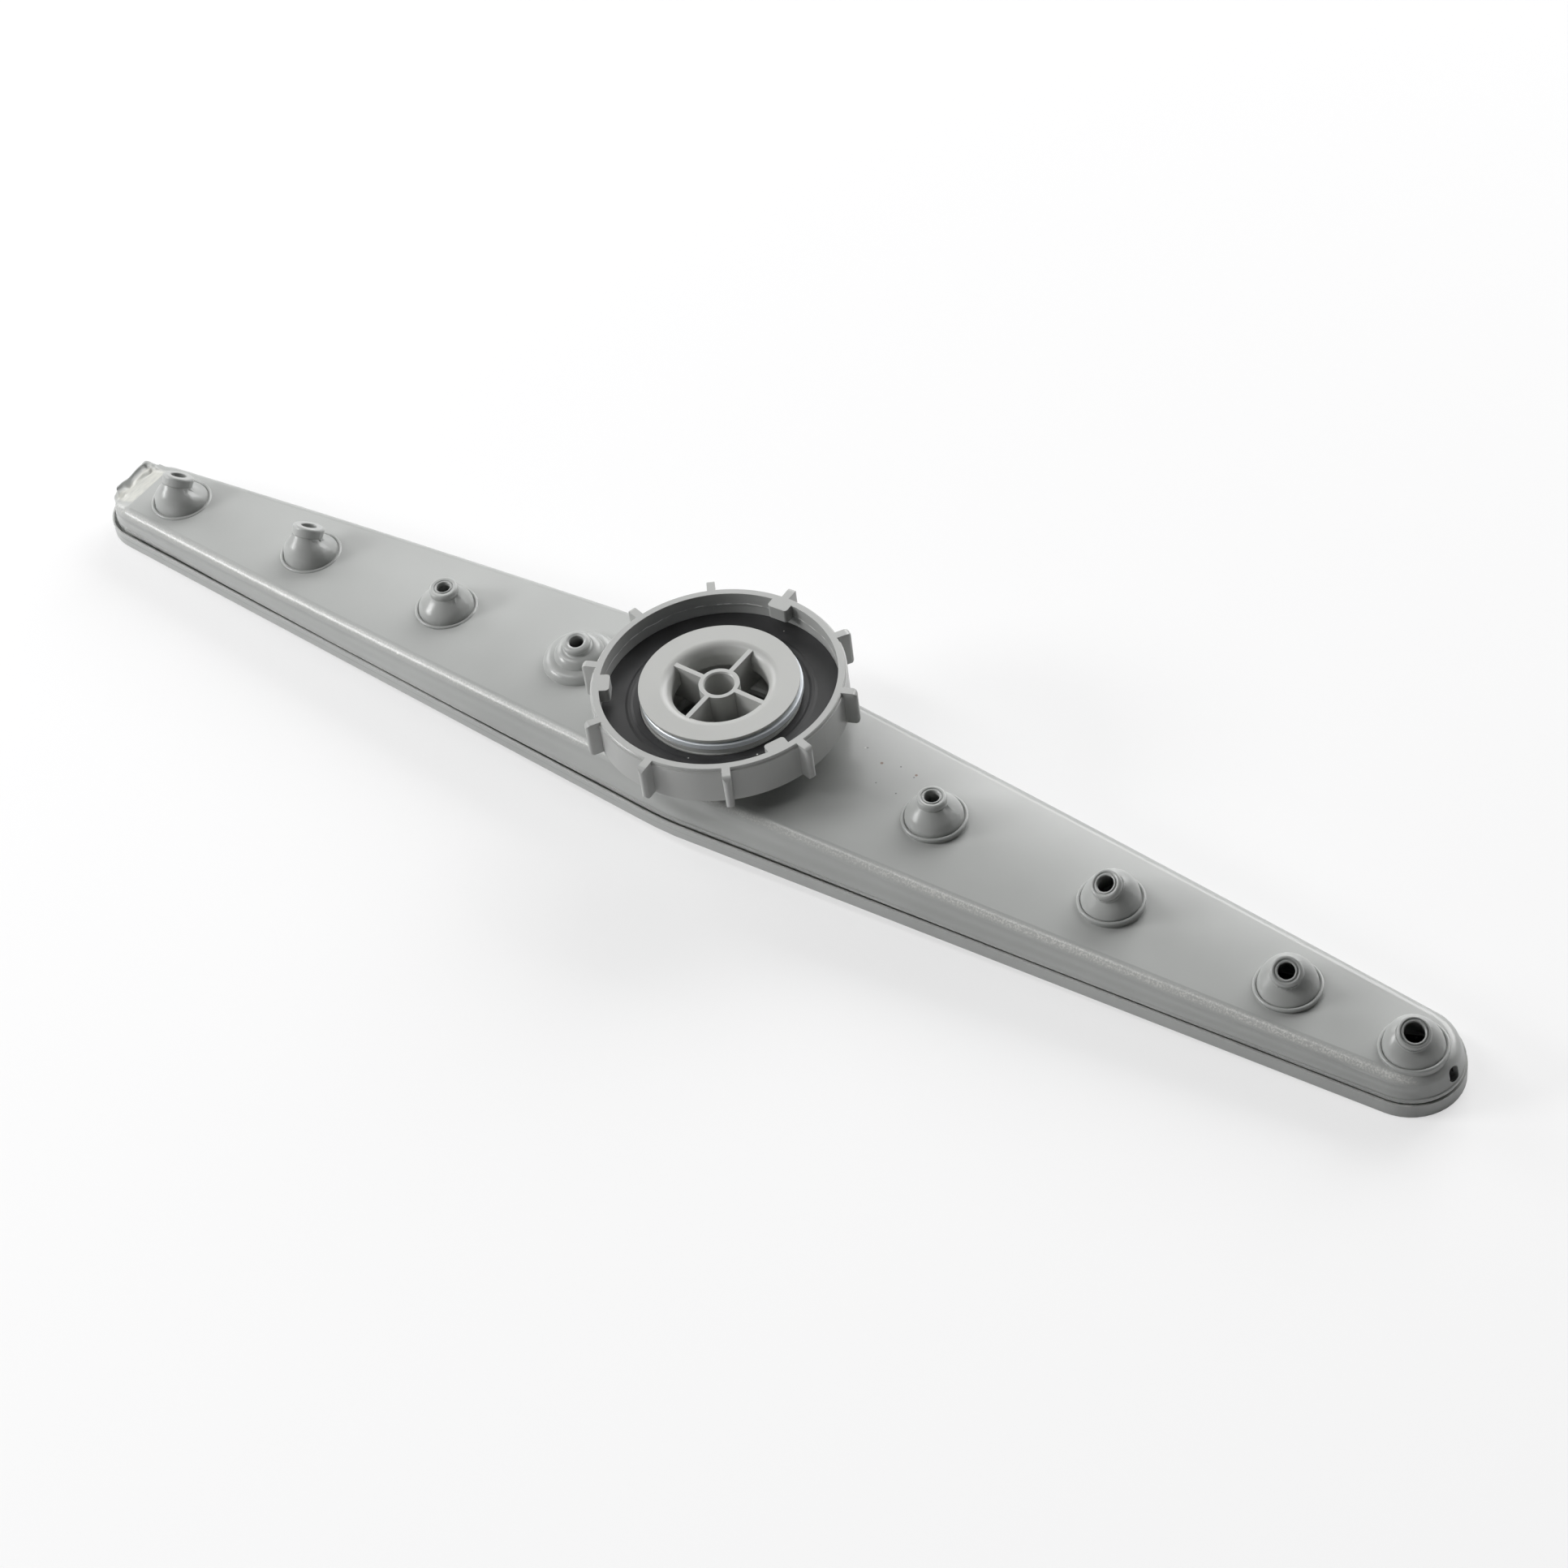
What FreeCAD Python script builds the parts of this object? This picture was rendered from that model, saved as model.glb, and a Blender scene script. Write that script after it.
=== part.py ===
import FreeCAD, Part
import collections
import math
import os

# Dishwasher spray arm: two welded shells with moulded nozzles, an inlet hub with four
# spokes, and a ribbed bayonet ring that turns on the hub and carries a black gasket.
# Frame: Z up along the hub axis, origin where that axis meets the surface the arm stands
# on, +X along the arm towards the end with the small end jet, lengths in millimetres.

V = FreeCAD.Vector
os.makedirs("parts", exist_ok=True)

# Arm in plan: centres and radii of the two end roundings of the lower rim
RIGHT_CENTRE = (212.7, 1.0)   # the right end lies a little towards the back
RIGHT_END_RADIUS = 14.8
LEFT_CENTRE = (-216.5, 0.0)
LEFT_END_RADIUS = 13.95
RIM_HALF_WIDTH = 31.98        # half width of the lower rim where both wings meet
MIDDLE_ROUNDING = 90.0        # the blunt corner in the middle of each side

# Arm in side view: every line is highest over the hub and falls to both ends
RIM_HEIGHT = 11.7             # top edge of the lower rim
RIM_FALL = 0.0307             # fall per millimetre along the wing
BAND_HEIGHT = 4.39            # upright band of the lower rim
TOP_HEIGHT = 21.79
TOP_FALL = 0.0403
SIDE_VIEW_BLEND = 400.0       # radius that joins the two falls over the hub
SPAN = 260.0                  # half length of the side view lines, past both ends of the arm
ROOM = 60.0                   # half width of the blocks that shape the shells, wider than the arm
LOW_ROOM = 10.0               # these blocks start this far under the arm

# Upper shell
GAP_HEIGHT = 1.5              # shadow gap between skirt and rim
SKIRT_SET_BACK = 1.0          # the skirt ends this far inside the rim
RIGHT_SET_BACK = 0.6          # and this far at the right end
LEFT_PULL = 0.8               # the pressed left end of the upper shell is this much shorter
TOP_HALF_WIDTH = 26.2         # half width of the top face before rounding, over the hub
TOP_END_HALF_WIDTH = 12.5     # the same at the end roundings
SHOULDER_RADIUS = 3.2
DRAFT_BELOW = 8.0             # the sloping walls are drawn from this far under the rim
DRAFT_ABOVE = 12.0            # to this far above it, and then cut at the skirt and the top
WALL = 1.9
TOP_WALL = 1.8
OPEN_BELOW = 3.0              # the hollow is cut this far under the skirt, so that it is open
SKIRT_BEAD_OUT = 0.3          # small bead along the lower edge of the skirt
SKIRT_BEAD_HEIGHT = 0.45

# Weld joint between the shells
RIM_LIP = 0.55                # thin outer lip of the lower rim
RIM_DEPTH = 2.0               # depth of the seat behind the lip
TONGUE_GAP = 1.75             # open groove between lip and tongue
TONGUE = 1.6
TONGUE_ROOT = 1.2             # the tongue joins the wall up to this far above the skirt
FLOOR = 1.4
SHELF = 5.0                   # width of the seat seen from below
OVER_RIM = 5.0                # the seat and the well are cut to this far above the rim

# Belly of the lower shell, the part it stands on
BELLY_RADIUS = 29.6
BELLY_ROUNDING = 6.0
BELLY_WALL = 2.0
BELLY_FLOOR = 1.8
BELLY_INNER_ROUNDING = 4.4
BELLY_JOIN = 0.6              # the belly runs this far into the floor of the shell

# Hub
HUB_TOP = 37.2
NECK_RADIUS = 19.6
NECK_WALL = 2.0
FLANGE_REACH = 2.65           # the flange stands out this far from the neck
FLANGE_EDGE = 1.3
SPOKE_TOP = 36.8              # the spokes and the tube stop just under the flange face
MOUTH_RADIUS = 16.6
THROAT_RADIUS = 13.4
THROAT_BOTTOM = 30.6
THROAT_CONE = 3.2             # height of the cone that opens to the bore of the neck
HUB_FOOT = 18.9
TUBE_RADIUS = 5.69
TUBE_BORE = 4.19
TUBE_BOTTOM = 23.0
TUBE_LEAD_IN = 0.35
SPOKE = 1.4
SPOKE_BOTTOM = 25.0
SOCKET_CLEARANCE = 0.1
SOCKET_WALL = 4.0
SOCKET_FLOOR = 1.8
SOCKET_LEDGE = 3.2            # the ledge under the hub reaches in this far

# Locking ring
RING_TOP = 39.15
RING_BOTTOM = 27.47
RING_RADIUS = 35.35
RIM_STEP_HEIGHT = 0.95
RIM_STEP = 0.4
RING_WALL = 2.5
PARTING_STEP = 0.15           # the bore is this much wider below the lugs
LUG_ANGLES = (93.3, 213.3, 335.6)
LUG_HEIGHT = 4.3
LUG_REACH = 2.95              # the lugs reach in this far from the bore
LUG_ROOT = 0.6                # and this far into the wall
LUG_ROUNDING = 1.0
LUG_WIDTH = 6.2
RIB_COUNT = 10
RIB_START = 93.3
RIB_THICKNESS = 2.3
RIB_OUT = 3.75                # the ribs stand out this far from the wall
RIB_ROOT = 1.2                # and reach this far into it
RIB_TOP_ROUNDING = 1.6
RIB_FOOT_ROUNDING = 1.0
RIB_FOOT_RISE = 0.5           # the ribs end this far above the bottom of the ring
FLOOR_TOP = 29.3
RUNNING_GAP = 0.09            # between the turning ring and the neck of the hub
COLLAR_WALL = 2.71
COLLAR_TOP = 33.7
COLLAR_CHAMFER = 0.4
COLLAR_STEP = 0.35            # above the gasket the collar is thinner and leaves a narrow ledge
SEAT_GAP = 0.27               # between the ring and the boss it stands on

# Gasket and slide ring
GASKET_TOP = 31.75
GASKET_PLAY = 0.1
BEAD_PLACE = 3.0              # from the collar to the middle of the bead
BEAD_HALF_WIDTH = 1.1
BEAD_HEIGHT = 0.16
SLIDE_RING_PLAY = 0.9
SLIDE_RING_WIDTH = 2.0
SLIDE_RING_HEIGHT = 1.95
SLIDE_RING_EDGE = 0.25
SLIDE_RING_OFFSET = (0.4, 0.25)

# Radii that follow from the neck of the hub
FLANGE_RADIUS = NECK_RADIUS + FLANGE_REACH
NECK_BORE = NECK_RADIUS - NECK_WALL
BOSS_RADIUS = NECK_RADIUS + SOCKET_WALL
RUNNING_BORE = NECK_RADIUS + RUNNING_GAP
COLLAR_RADIUS = RUNNING_BORE + COLLAR_WALL
SLIDE_RING_BORE = NECK_RADIUS + SLIDE_RING_PLAY

# Radii that follow from the wall of the locking ring
RING_BORE = RING_RADIUS - RING_WALL
RIB_REACH = RING_RADIUS + RIB_OUT
LUG_RADIUS = RING_BORE - LUG_REACH

# Nozzles: place of the base along and across the arm, height of the mouth above the base,
# lean across and lean along the arm in degrees, radius of the jet, outer radius and length
# of the straight mouth, height of the base ring, and whether a groove runs round the jet
Nozzle = collections.namedtuple("Nozzle", "x y height across along jet mouth length step grooved")
NOZZLES = (
    Nozzle(-204.6, 0.45, 7.9, 15.0, -4.8, 2.35, 4.7, 3.1, 0.6, False),
    Nozzle(-152.7, 0.45, 8.25, 17.8, -5.8, 2.3, 4.7, 3.1, 0.6, False),
    Nozzle(-100.6, 0.45, 7.2, 2.8, 0.5, 1.95, 4.3, 2.0, 0.7, True),
    Nozzle(69.0, 0.45, 7.6, -1.0, 0.0, 2.1, 4.15, 2.2, 1.4, True),
    Nozzle(124.7, 0.45, 9.05, -18.6, 2.5, 2.3, 4.3, 2.4, 1.7, True),
    Nozzle(178.1, 0.15, 8.3, -16.9, 7.0, 2.25, 4.25, 2.4, 1.2, True),
    Nozzle(214.9, -0.5, 7.45, -13.2, 8.5, 2.8, 4.5, 2.2, 1.4, True),
)
BASE_RADIUS = 9.24
BASE_BEAD = 0.52              # radius of the rounded bead on the base ring
BASE_FOOT_INSET = 0.2         # the base ring is this much narrower at its foot
MOUTH_DRAFT = 0.3             # the straight mouth is this much thinner at its foot
MOUTH_ROUNDING = 0.8
LIP_WIDTH = 0.55              # inner lip of the grooved mouths
GROOVE_WIDTH = 0.35
GROOVE_DEPTH = 0.3
GROOVE_DROP = 0.1             # the mouth is this much lower outside the groove
JET_EDGE = 0.2                # rounded rim of the jet: its width and its depth
JET_SINK = 0.25
OVERLAP = 0.05                # bodies that are joined or cut run this far into each other
JET_LAND = 1.2                # length of the jet before it opens out inside
JET_INSIDE = 5.6              # radius of the jet's inner end
JET_DEPTH = 4.5               # the jet starts this far under the base

# Softer nozzle beside the ring: place, leans, and the radii and heights of its steps
STEPPED_PLACE = (-51.7, 1.2)
STEPPED_LEAN = (-6.0, 2.0)
STEPPED_DISC = 10.9
STEPPED_SHOULDER = 7.2
STEPPED_WAIST = 3.6
STEPPED_MOUTH = 4.05
STEPPED_HEIGHT = 8.3
STEPPED_JET = 2.1

# End jet, a slanted slot in the shoulder of the right end
END_JET_PLACE = (227.9, -0.5, 9.7)
END_JET_RADIUS = 1.15
END_JET_LENGTH = 14.0
END_JET_DEPTH = 8.0           # how far the jet reaches into the arm
END_JET_RISE = 38.0           # degrees above level
END_JET_SWAY = -0.12          # the jet turns this much towards the front
END_JET_SHIFT = (-1.2, 0.4, 1.2)

# Left end: the top has been pressed in there, which left a crest along the straight end
FOLD_X = -217.8
VALLEY_X = -222.8
VALLEY_DEPTH = 1.1
CREST_X = -227.8
CREST_WIDTH = 0.9
CREST_FRONT = -4.2
CREST_BACK = 9.8
CREST_RISE = 0.15             # before the press the crest stood this far above the top line
CREST_DEPTH = 6.5
CREST_BEVEL_FRONT = -11.5     # where the bevels beside the crest meet the fold
CREST_BEVEL_BACK = 10.4
CREST_UNDERCUT = 0.05
VALLEY_SHARE = 0.7            # depth of the valley beside the crest, as a share of VALLEY_DEPTH
VALLEY_WALL = 0.1             # the crest's inner side starts this far from its width
VALLEY_WALL_TOP = 0.3
VALLEY_BACK = 1.6             # the valley ends this far before the back end of the crest
FOLD_RISE = 0.02
SOLID_END = 3.0               # the pressed end stays solid this far past the fold


def side_line(height, fall):
    """Edges of one side view line from left to right, with its rounded middle."""
    angle = math.atan(fall)
    reach = SIDE_VIEW_BLEND * math.tan(angle)
    crown = height - SIDE_VIEW_BLEND * (1.0 / math.cos(angle) - 1.0)
    join = reach * math.cos(angle)
    low = height - fall * SPAN
    at_join = height - fall * join
    left = Part.makeLine(V(-SPAN, 0, low), V(-join, 0, at_join))
    middle = Part.Arc(V(-join, 0, at_join), V(0, 0, crown), V(join, 0, at_join)).toShape()
    right = Part.makeLine(V(join, 0, at_join), V(SPAN, 0, low))
    return [left, middle, right]


def slab(low_height, low_fall, high_height, high_fall):
    """Everything between two side view lines, wide enough for the whole arm."""
    low = side_line(low_height, low_fall)
    high = side_line(high_height, high_fall)
    right = Part.makeLine(low[2].Vertexes[-1].Point, high[2].Vertexes[-1].Point)
    left = Part.makeLine(low[0].Vertexes[0].Point, high[0].Vertexes[0].Point)
    wire = Part.Wire(Part.__sortEdges__(low + [right] + high + [left]))
    face = Part.Face(wire)
    face.translate(V(0, -ROOM, 0))
    return face.extrude(V(0, 2.0 * ROOM, 0))


def tangent_point(half_width, centre, radius):
    """Where the straight side from the middle corner touches the end rounding."""
    rise = centre[1] - half_width
    distance = math.hypot(rise, centre[0])
    half = math.asin(radius / distance)
    length = math.sqrt(distance ** 2 - radius ** 2)
    angle = math.atan2(rise, centre[0]) + half
    return length * math.cos(angle), half_width + length * math.sin(angle)


def side_points(half, right, right_radius, left, left_radius):
    """Corner points of one long side, from the right end over the middle to the left end."""
    rx, ry = tangent_point(half, right, right_radius)
    lx, ly = tangent_point(half, (-left[0], left[1]), left_radius)
    right_fall = math.atan((half - ry) / rx)
    left_fall = math.atan((half - ly) / lx)
    turn = (right_fall + left_fall) / 2.0
    skew = (right_fall - left_fall) / 2.0
    back = MIDDLE_ROUNDING * math.tan(turn)
    sag = MIDDLE_ROUNDING * (1.0 / math.cos(turn) - 1.0)
    return [
        (rx, ry),
        (back * math.cos(right_fall), half - back * math.sin(right_fall)),
        (-sag * math.sin(skew), half - sag),
        (-back * math.cos(left_fall), half - back * math.sin(left_fall)),
        (-lx, ly),
    ]


def plan_wire(half_width, right_radius, left_radius, z, inset=0.0, left_pull=0.0):
    """Outline of the arm seen from above: four straight sides, rounded ends and middle."""
    half = half_width - inset
    right_radius = right_radius - inset
    left_radius = left_radius - inset
    rx, ry = RIGHT_CENTRE
    lx, ly = LEFT_CENTRE[0] + left_pull, LEFT_CENTRE[1]
    upper = side_points(half, (rx, ry), right_radius, (lx, ly), left_radius)
    lower = side_points(half, (rx, -ry), right_radius, (lx, -ly), left_radius)
    back = [V(x, y, z) for x, y in upper]
    front = [V(x, -y, z) for x, y in lower]
    return Part.Wire([
        Part.Arc(front[0], V(rx + right_radius, ry, z), back[0]).toShape(),
        Part.makeLine(back[0], back[1]),
        Part.Arc(back[1], back[2], back[3]).toShape(),
        Part.makeLine(back[3], back[4]),
        Part.Arc(back[4], V(lx - left_radius, ly, z), front[4]).toShape(),
        Part.makeLine(front[4], front[3]),
        Part.Arc(front[3], front[2], front[1]).toShape(),
        Part.makeLine(front[1], front[0]),
    ])


def plan_prism(inset):
    """Upright block with the outline of the lower rim, drawn in by the inset."""
    wire = plan_wire(RIM_HALF_WIDTH, RIGHT_END_RADIUS, LEFT_END_RADIUS, -LOW_ROOM, inset)
    return Part.Face(wire).extrude(V(0, 0, ROOM))


def drafted_body(inset):
    """Block with the sloping side walls of the upper shell."""
    low_z = RIM_HEIGHT - DRAFT_BELOW
    high_z = RIM_HEIGHT + DRAFT_ABOVE
    end = RIGHT_CENTRE[0]
    skirt_z = RIM_HEIGHT + GAP_HEIGHT
    skirt_end_z = skirt_z - RIM_FALL * end
    skirt_half = RIM_HALF_WIDTH - SKIRT_SET_BACK
    skirt_right = RIGHT_END_RADIUS - RIGHT_SET_BACK
    skirt_left = LEFT_END_RADIUS - SKIRT_SET_BACK
    end_height = TOP_HEIGHT - TOP_FALL * end - skirt_end_z
    lean = (TOP_HALF_WIDTH - skirt_half) / (TOP_HEIGHT - skirt_z)
    right_lean = (TOP_END_HALF_WIDTH - skirt_right) / end_height
    left_lean = (TOP_END_HALF_WIDTH - skirt_left) / end_height
    wires = []
    for z in (low_z, high_z):
        half = skirt_half + lean * (z - skirt_z)
        right = skirt_right + right_lean * (z - skirt_end_z)
        left = skirt_left + left_lean * (z - skirt_end_z)
        wires.append(plan_wire(half, right, left, z, inset, LEFT_PULL))
    return Part.makeLoft(wires, True, True)


def top_at(x):
    return TOP_HEIGHT - TOP_FALL * abs(x)


def shoulder_edges(shape):
    """Edges between the top face and the side walls."""
    tolerance = 0.6
    beside_middle = 3.0
    at_the_ends = 200.0
    found = []
    for edge in shape.Edges:
        middle = edge.valueAt((edge.FirstParameter + edge.LastParameter) / 2.0)
        ends = [v.Point for v in edge.Vertexes]
        on_top = all(abs(p.z - top_at(p.x)) < tolerance for p in ends + [middle])
        if on_top and (abs(middle.y) > beside_middle or abs(middle.x) > at_the_ends):
            found.append(edge)
    return found


def lean_direction(across, along):
    sx = math.sin(math.radians(along))
    sy = math.sin(math.radians(across))
    return V(sx, sy, math.sqrt(1.0 - sx * sx - sy * sy))


def circle_wire(centre, normal, radius):
    return Part.Wire(Part.makeCircle(radius, centre, normal))


def line(start, end):
    """Straight edge of a half section, its ends given as radius and height."""
    return Part.makeLine(V(start[0], 0, start[1]), V(end[0], 0, end[1]))


def bow(start, middle, end):
    """Arc of a half section through three points, given as radius and height."""
    return Part.Arc(V(start[0], 0, start[1]), V(middle[0], 0, middle[1]), V(end[0], 0, end[1])).toShape()


def half_profile(edges):
    """Solid of revolution round the Z axis from the edges of a closed half section."""
    return Part.Face(Part.Wire(edges)).revolve(V(0, 0, 0), V(0, 0, 1), 360)


def base_ring(step):
    """Round plinth of a nozzle with a rounded bead along its edge, seen from its own foot."""
    outer = BASE_RADIUS
    inner = BASE_RADIUS - 2.0 * BASE_BEAD
    bead_foot = step - BASE_BEAD
    foot = -1.2
    low = outer - BASE_FOOT_INSET
    return half_profile([
        Part.makeLine(V(0, 0, foot), V(low, 0, foot)),
        Part.makeLine(V(low, 0, foot), V(low, 0, 0)),
        Part.makeLine(V(low, 0, 0), V(outer, 0, bead_foot)),
        Part.Arc(V(outer, 0, bead_foot), V(outer - BASE_BEAD, 0, step), V(inner, 0, bead_foot)).toShape(),
        Part.makeLine(V(inner, 0, bead_foot), V(0, 0, bead_foot)),
        Part.makeLine(V(0, 0, bead_foot), V(0, 0, foot)),
    ])


def mouth_piece(jet, mouth_radius, length, grooved):
    """Straight upper part of a nozzle along Z with its rounded mouth at height zero."""
    low = -length
    round_start = mouth_radius - MOUTH_ROUNDING
    s = MOUTH_ROUNDING * math.sin(math.radians(45))
    edges = [
        Part.makeLine(V(0, 0, low), V(mouth_radius - MOUTH_DRAFT, 0, low)),
        Part.makeLine(V(mouth_radius - MOUTH_DRAFT, 0, low), V(mouth_radius, 0, -MOUTH_ROUNDING)),
        Part.Arc(V(mouth_radius, 0, -MOUTH_ROUNDING), V(round_start + s, 0, s - MOUTH_ROUNDING),
                 V(round_start, 0, 0)).toShape(),
    ]
    tip = [V(round_start, 0, 0)]
    if grooved:
        lip = jet + LIP_WIDTH
        tip.append(V(lip + GROOVE_WIDTH, 0, -GROOVE_DROP))
        tip.append(V(lip + GROOVE_WIDTH, 0, -GROOVE_DEPTH))
        tip.append(V(lip, 0, -GROOVE_DEPTH))
        tip.append(V(lip - GROOVE_DROP, 0, 0))
    tip.append(V(jet + JET_EDGE, 0, 0))
    tip.append(V(jet - OVERLAP, 0, -JET_SINK))
    tip.append(V(0, 0, -JET_SINK))
    tip.append(V(0, 0, low))
    for start, end in zip(tip, tip[1:]):
        edges.append(Part.makeLine(start, end))
    return half_profile(edges)


def nozzle(n):
    """Bell shaped nozzle on a base ring, its upper part leaning as given."""
    up = V(0, 0, 1)
    axis = lean_direction(n.across, n.along)
    foot = V(n.x, n.y, top_at(n.x))
    base = foot + V(0, 0, n.step)
    ring = base_ring(n.step)
    ring.translate(foot)
    bell_height = n.height - n.length
    half_way = (up + axis).normalize()
    bell_foot = BASE_RADIUS - 2.0 * BASE_BEAD - 0.15
    drop = bell_foot - n.mouth
    low = base + V(0, 0, 0.22 * bell_height) + axis * (0.05 * bell_height)
    bell = Part.makeLoft([
        circle_wire(base - V(0, 0, BASE_BEAD + 0.3), up, bell_foot),
        circle_wire(low, up, bell_foot - 0.16 * drop),
        circle_wire(base + half_way * (0.62 * bell_height), half_way, bell_foot - 0.52 * drop),
        circle_wire(base + axis * (0.86 * bell_height), axis, bell_foot - 0.83 * drop),
        circle_wire(base + axis * (1.02 * bell_height), axis, n.mouth + OVERLAP),
    ], True, False)
    mouth = mouth_piece(n.jet, n.mouth, n.length + 0.5 * bell_height, n.grooved)
    mouth.Placement = FreeCAD.Placement(base + axis * n.height, FreeCAD.Rotation(up, axis))
    return ring.fuse(bell).fuse(mouth), jet_bore(base, axis, n.height, n.jet)


def jet_bore(base, axis, height, jet):
    """Jet through the neck that opens out towards the inside of the arm."""
    straight = Part.makeCylinder(jet, JET_LAND + 2.0, base + axis * (height - JET_LAND), axis)
    inner = Part.makeCone(JET_INSIDE, jet, height + JET_DEPTH - JET_LAND, base - axis * JET_DEPTH, axis)
    return straight.fuse(inner)


def stepped_nozzle():
    """Softer nozzle: a low rounded disc, and on it a small bell whose mouth has a round bead."""
    foot = -1.0
    disc_edge = (STEPPED_DISC - 0.1, 0.4)
    disc_round = (STEPPED_DISC - 1.1, 2.1)
    disc_top = (STEPPED_SHOULDER + 0.7, 2.8)
    disc_middle = (0.0, 2.95)
    low = half_profile([
        line((0.0, foot), (STEPPED_DISC, foot)),
        line((STEPPED_DISC, foot), disc_edge),
        bow(disc_edge, disc_round, disc_top),
        line(disc_top, disc_middle),
        line(disc_middle, (0.0, foot)),
    ])
    top = STEPPED_HEIGHT
    shoulder = STEPPED_SHOULDER
    bell_foot = 1.5
    shoulder_top = (shoulder, 2.9)
    neck_foot = (STEPPED_WAIST + 1.0, top - 2.5)
    waist = (STEPPED_WAIST, top - 1.8)
    bead_top = (STEPPED_MOUTH - 0.65, top - 0.15)
    lip = (STEPPED_JET + 0.7, top)
    jet_edge = (STEPPED_JET - OVERLAP, top - 0.3)
    high = half_profile([
        line((0.0, bell_foot), (shoulder, bell_foot)),
        line((shoulder, bell_foot), shoulder_top),
        bow(shoulder_top, (shoulder - 0.95, 4.9), neck_foot),
        bow(neck_foot, (STEPPED_WAIST + 0.2, top - 2.2), waist),
        bow(waist, (STEPPED_MOUTH, top - 1.05), bead_top),
        line(bead_top, lip),
        line(lip, jet_edge),
        line(jet_edge, (0.0, jet_edge[1])),
        line((0.0, jet_edge[1]), (0.0, bell_foot)),
    ])
    axis = lean_direction(*STEPPED_LEAN)
    base = V(STEPPED_PLACE[0], STEPPED_PLACE[1], top_at(STEPPED_PLACE[0]))
    low.translate(base)
    high.Placement = FreeCAD.Placement(base, FreeCAD.Rotation(V(0, 0, 1), axis))
    return low.fuse(high), jet_bore(base, axis, top, STEPPED_JET)


def end_jet():
    """Slanted slot in the shoulder of the right end."""
    rise = math.radians(END_JET_RISE)
    direction = V(math.cos(rise), END_JET_SWAY, math.sin(rise)).normalize()
    start = V(*END_JET_PLACE) - direction * END_JET_DEPTH
    tube = Part.makeCylinder(END_JET_RADIUS, END_JET_LENGTH, start, direction)
    slot = tube
    for share in (0.5, 1.0):
        higher = tube.copy()
        higher.translate(V(*END_JET_SHIFT) * share)
        slot = slot.fuse(higher)
    return slot


def crest_block():
    """Blunt left end of the upper shell, before its top is pressed in."""
    top = top_at(CREST_X) + CREST_RISE
    corners = [
        V(FOLD_X, CREST_BEVEL_FRONT, top),
        V(CREST_X, CREST_FRONT, top),
        V(CREST_X, CREST_BACK, top),
        V(FOLD_X, CREST_BEVEL_BACK, top),
        V(FOLD_X, CREST_BEVEL_FRONT, top),
    ]
    block = Part.Face(Part.makePolygon(corners)).extrude(V(0, 0, -CREST_DEPTH))
    return block.common(slab(0.0, RIM_FALL, TOP_HEIGHT - CREST_UNDERCUT, TOP_FALL))


def pressed_valley():
    """What the press took away: a shallow valley between the fold and the crest."""
    inner_crest = CREST_X + CREST_WIDTH
    fold = top_at(FOLD_X) + FOLD_RISE
    beside_crest = top_at(inner_crest) - VALLEY_SHARE * VALLEY_DEPTH
    points = [
        V(FOLD_X, -ROOM, fold),
        V(VALLEY_X, -ROOM, top_at(VALLEY_X) - VALLEY_DEPTH),
        V(inner_crest - VALLEY_WALL, -ROOM, beside_crest),
        V(inner_crest - VALLEY_WALL_TOP, -ROOM, ROOM / 2.0),
        V(FOLD_X, -ROOM, ROOM / 2.0),
        V(FOLD_X, -ROOM, fold),
    ]
    valley = Part.Face(Part.makePolygon(points)).extrude(V(0, ROOM + CREST_BACK - VALLEY_BACK, 0))
    beyond = Part.makeBox(ROOM, 2.0 * ROOM, ROOM, V(CREST_X - ROOM, -ROOM, 0))
    return valley.fuse(beyond)


def upper_shell():
    skirt = RIM_HEIGHT + GAP_HEIGHT
    outer = drafted_body(0.0).common(slab(skirt, RIM_FALL, TOP_HEIGHT, TOP_FALL))
    outer = outer.Solids[0].makeFillet(SHOULDER_RADIUS, shoulder_edges(outer))
    inner = drafted_body(WALL).common(slab(skirt - OPEN_BELOW, RIM_FALL, TOP_HEIGHT - TOP_WALL, TOP_FALL))
    left_block = Part.makeBox(ROOM, 2.0 * ROOM, ROOM, V(FOLD_X + SOLID_END - ROOM, -ROOM, -LOW_ROOM))
    shell = outer.fuse(crest_block()).cut(inner.cut(left_block))
    tongue = plan_prism(RIM_LIP + TONGUE_GAP).cut(plan_prism(RIM_LIP + TONGUE_GAP + TONGUE))
    tongue = tongue.common(slab(RIM_HEIGHT - RIM_DEPTH, RIM_FALL, skirt + TONGUE_ROOT, RIM_FALL))
    shell = shell.fuse(tongue).fuse(skirt_bead())
    boss_bottom = HUB_FOOT - SOCKET_FLOOR
    boss = Part.makeCylinder(BOSS_RADIUS, RING_BOTTOM - SEAT_GAP - boss_bottom, V(0, 0, boss_bottom))
    shell = shell.fuse(boss)
    bores = []
    for values in NOZZLES:
        body, bore = nozzle(values)
        shell = shell.fuse(body)
        bores.append(bore)
    body, bore = stepped_nozzle()
    shell = shell.fuse(body)
    bores.append(bore)
    for bore in bores:
        shell = shell.cut(bore)
    socket = Part.makeCylinder(NECK_RADIUS + SOCKET_CLEARANCE, HUB_TOP - HUB_FOOT, V(0, 0, HUB_FOOT))
    passage = Part.makeCylinder(NECK_RADIUS - SOCKET_LEDGE, HUB_TOP, V(0, 0, 0))
    shell = shell.cut(socket).cut(passage)
    return shell.cut(end_jet()).cut(pressed_valley())


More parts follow.
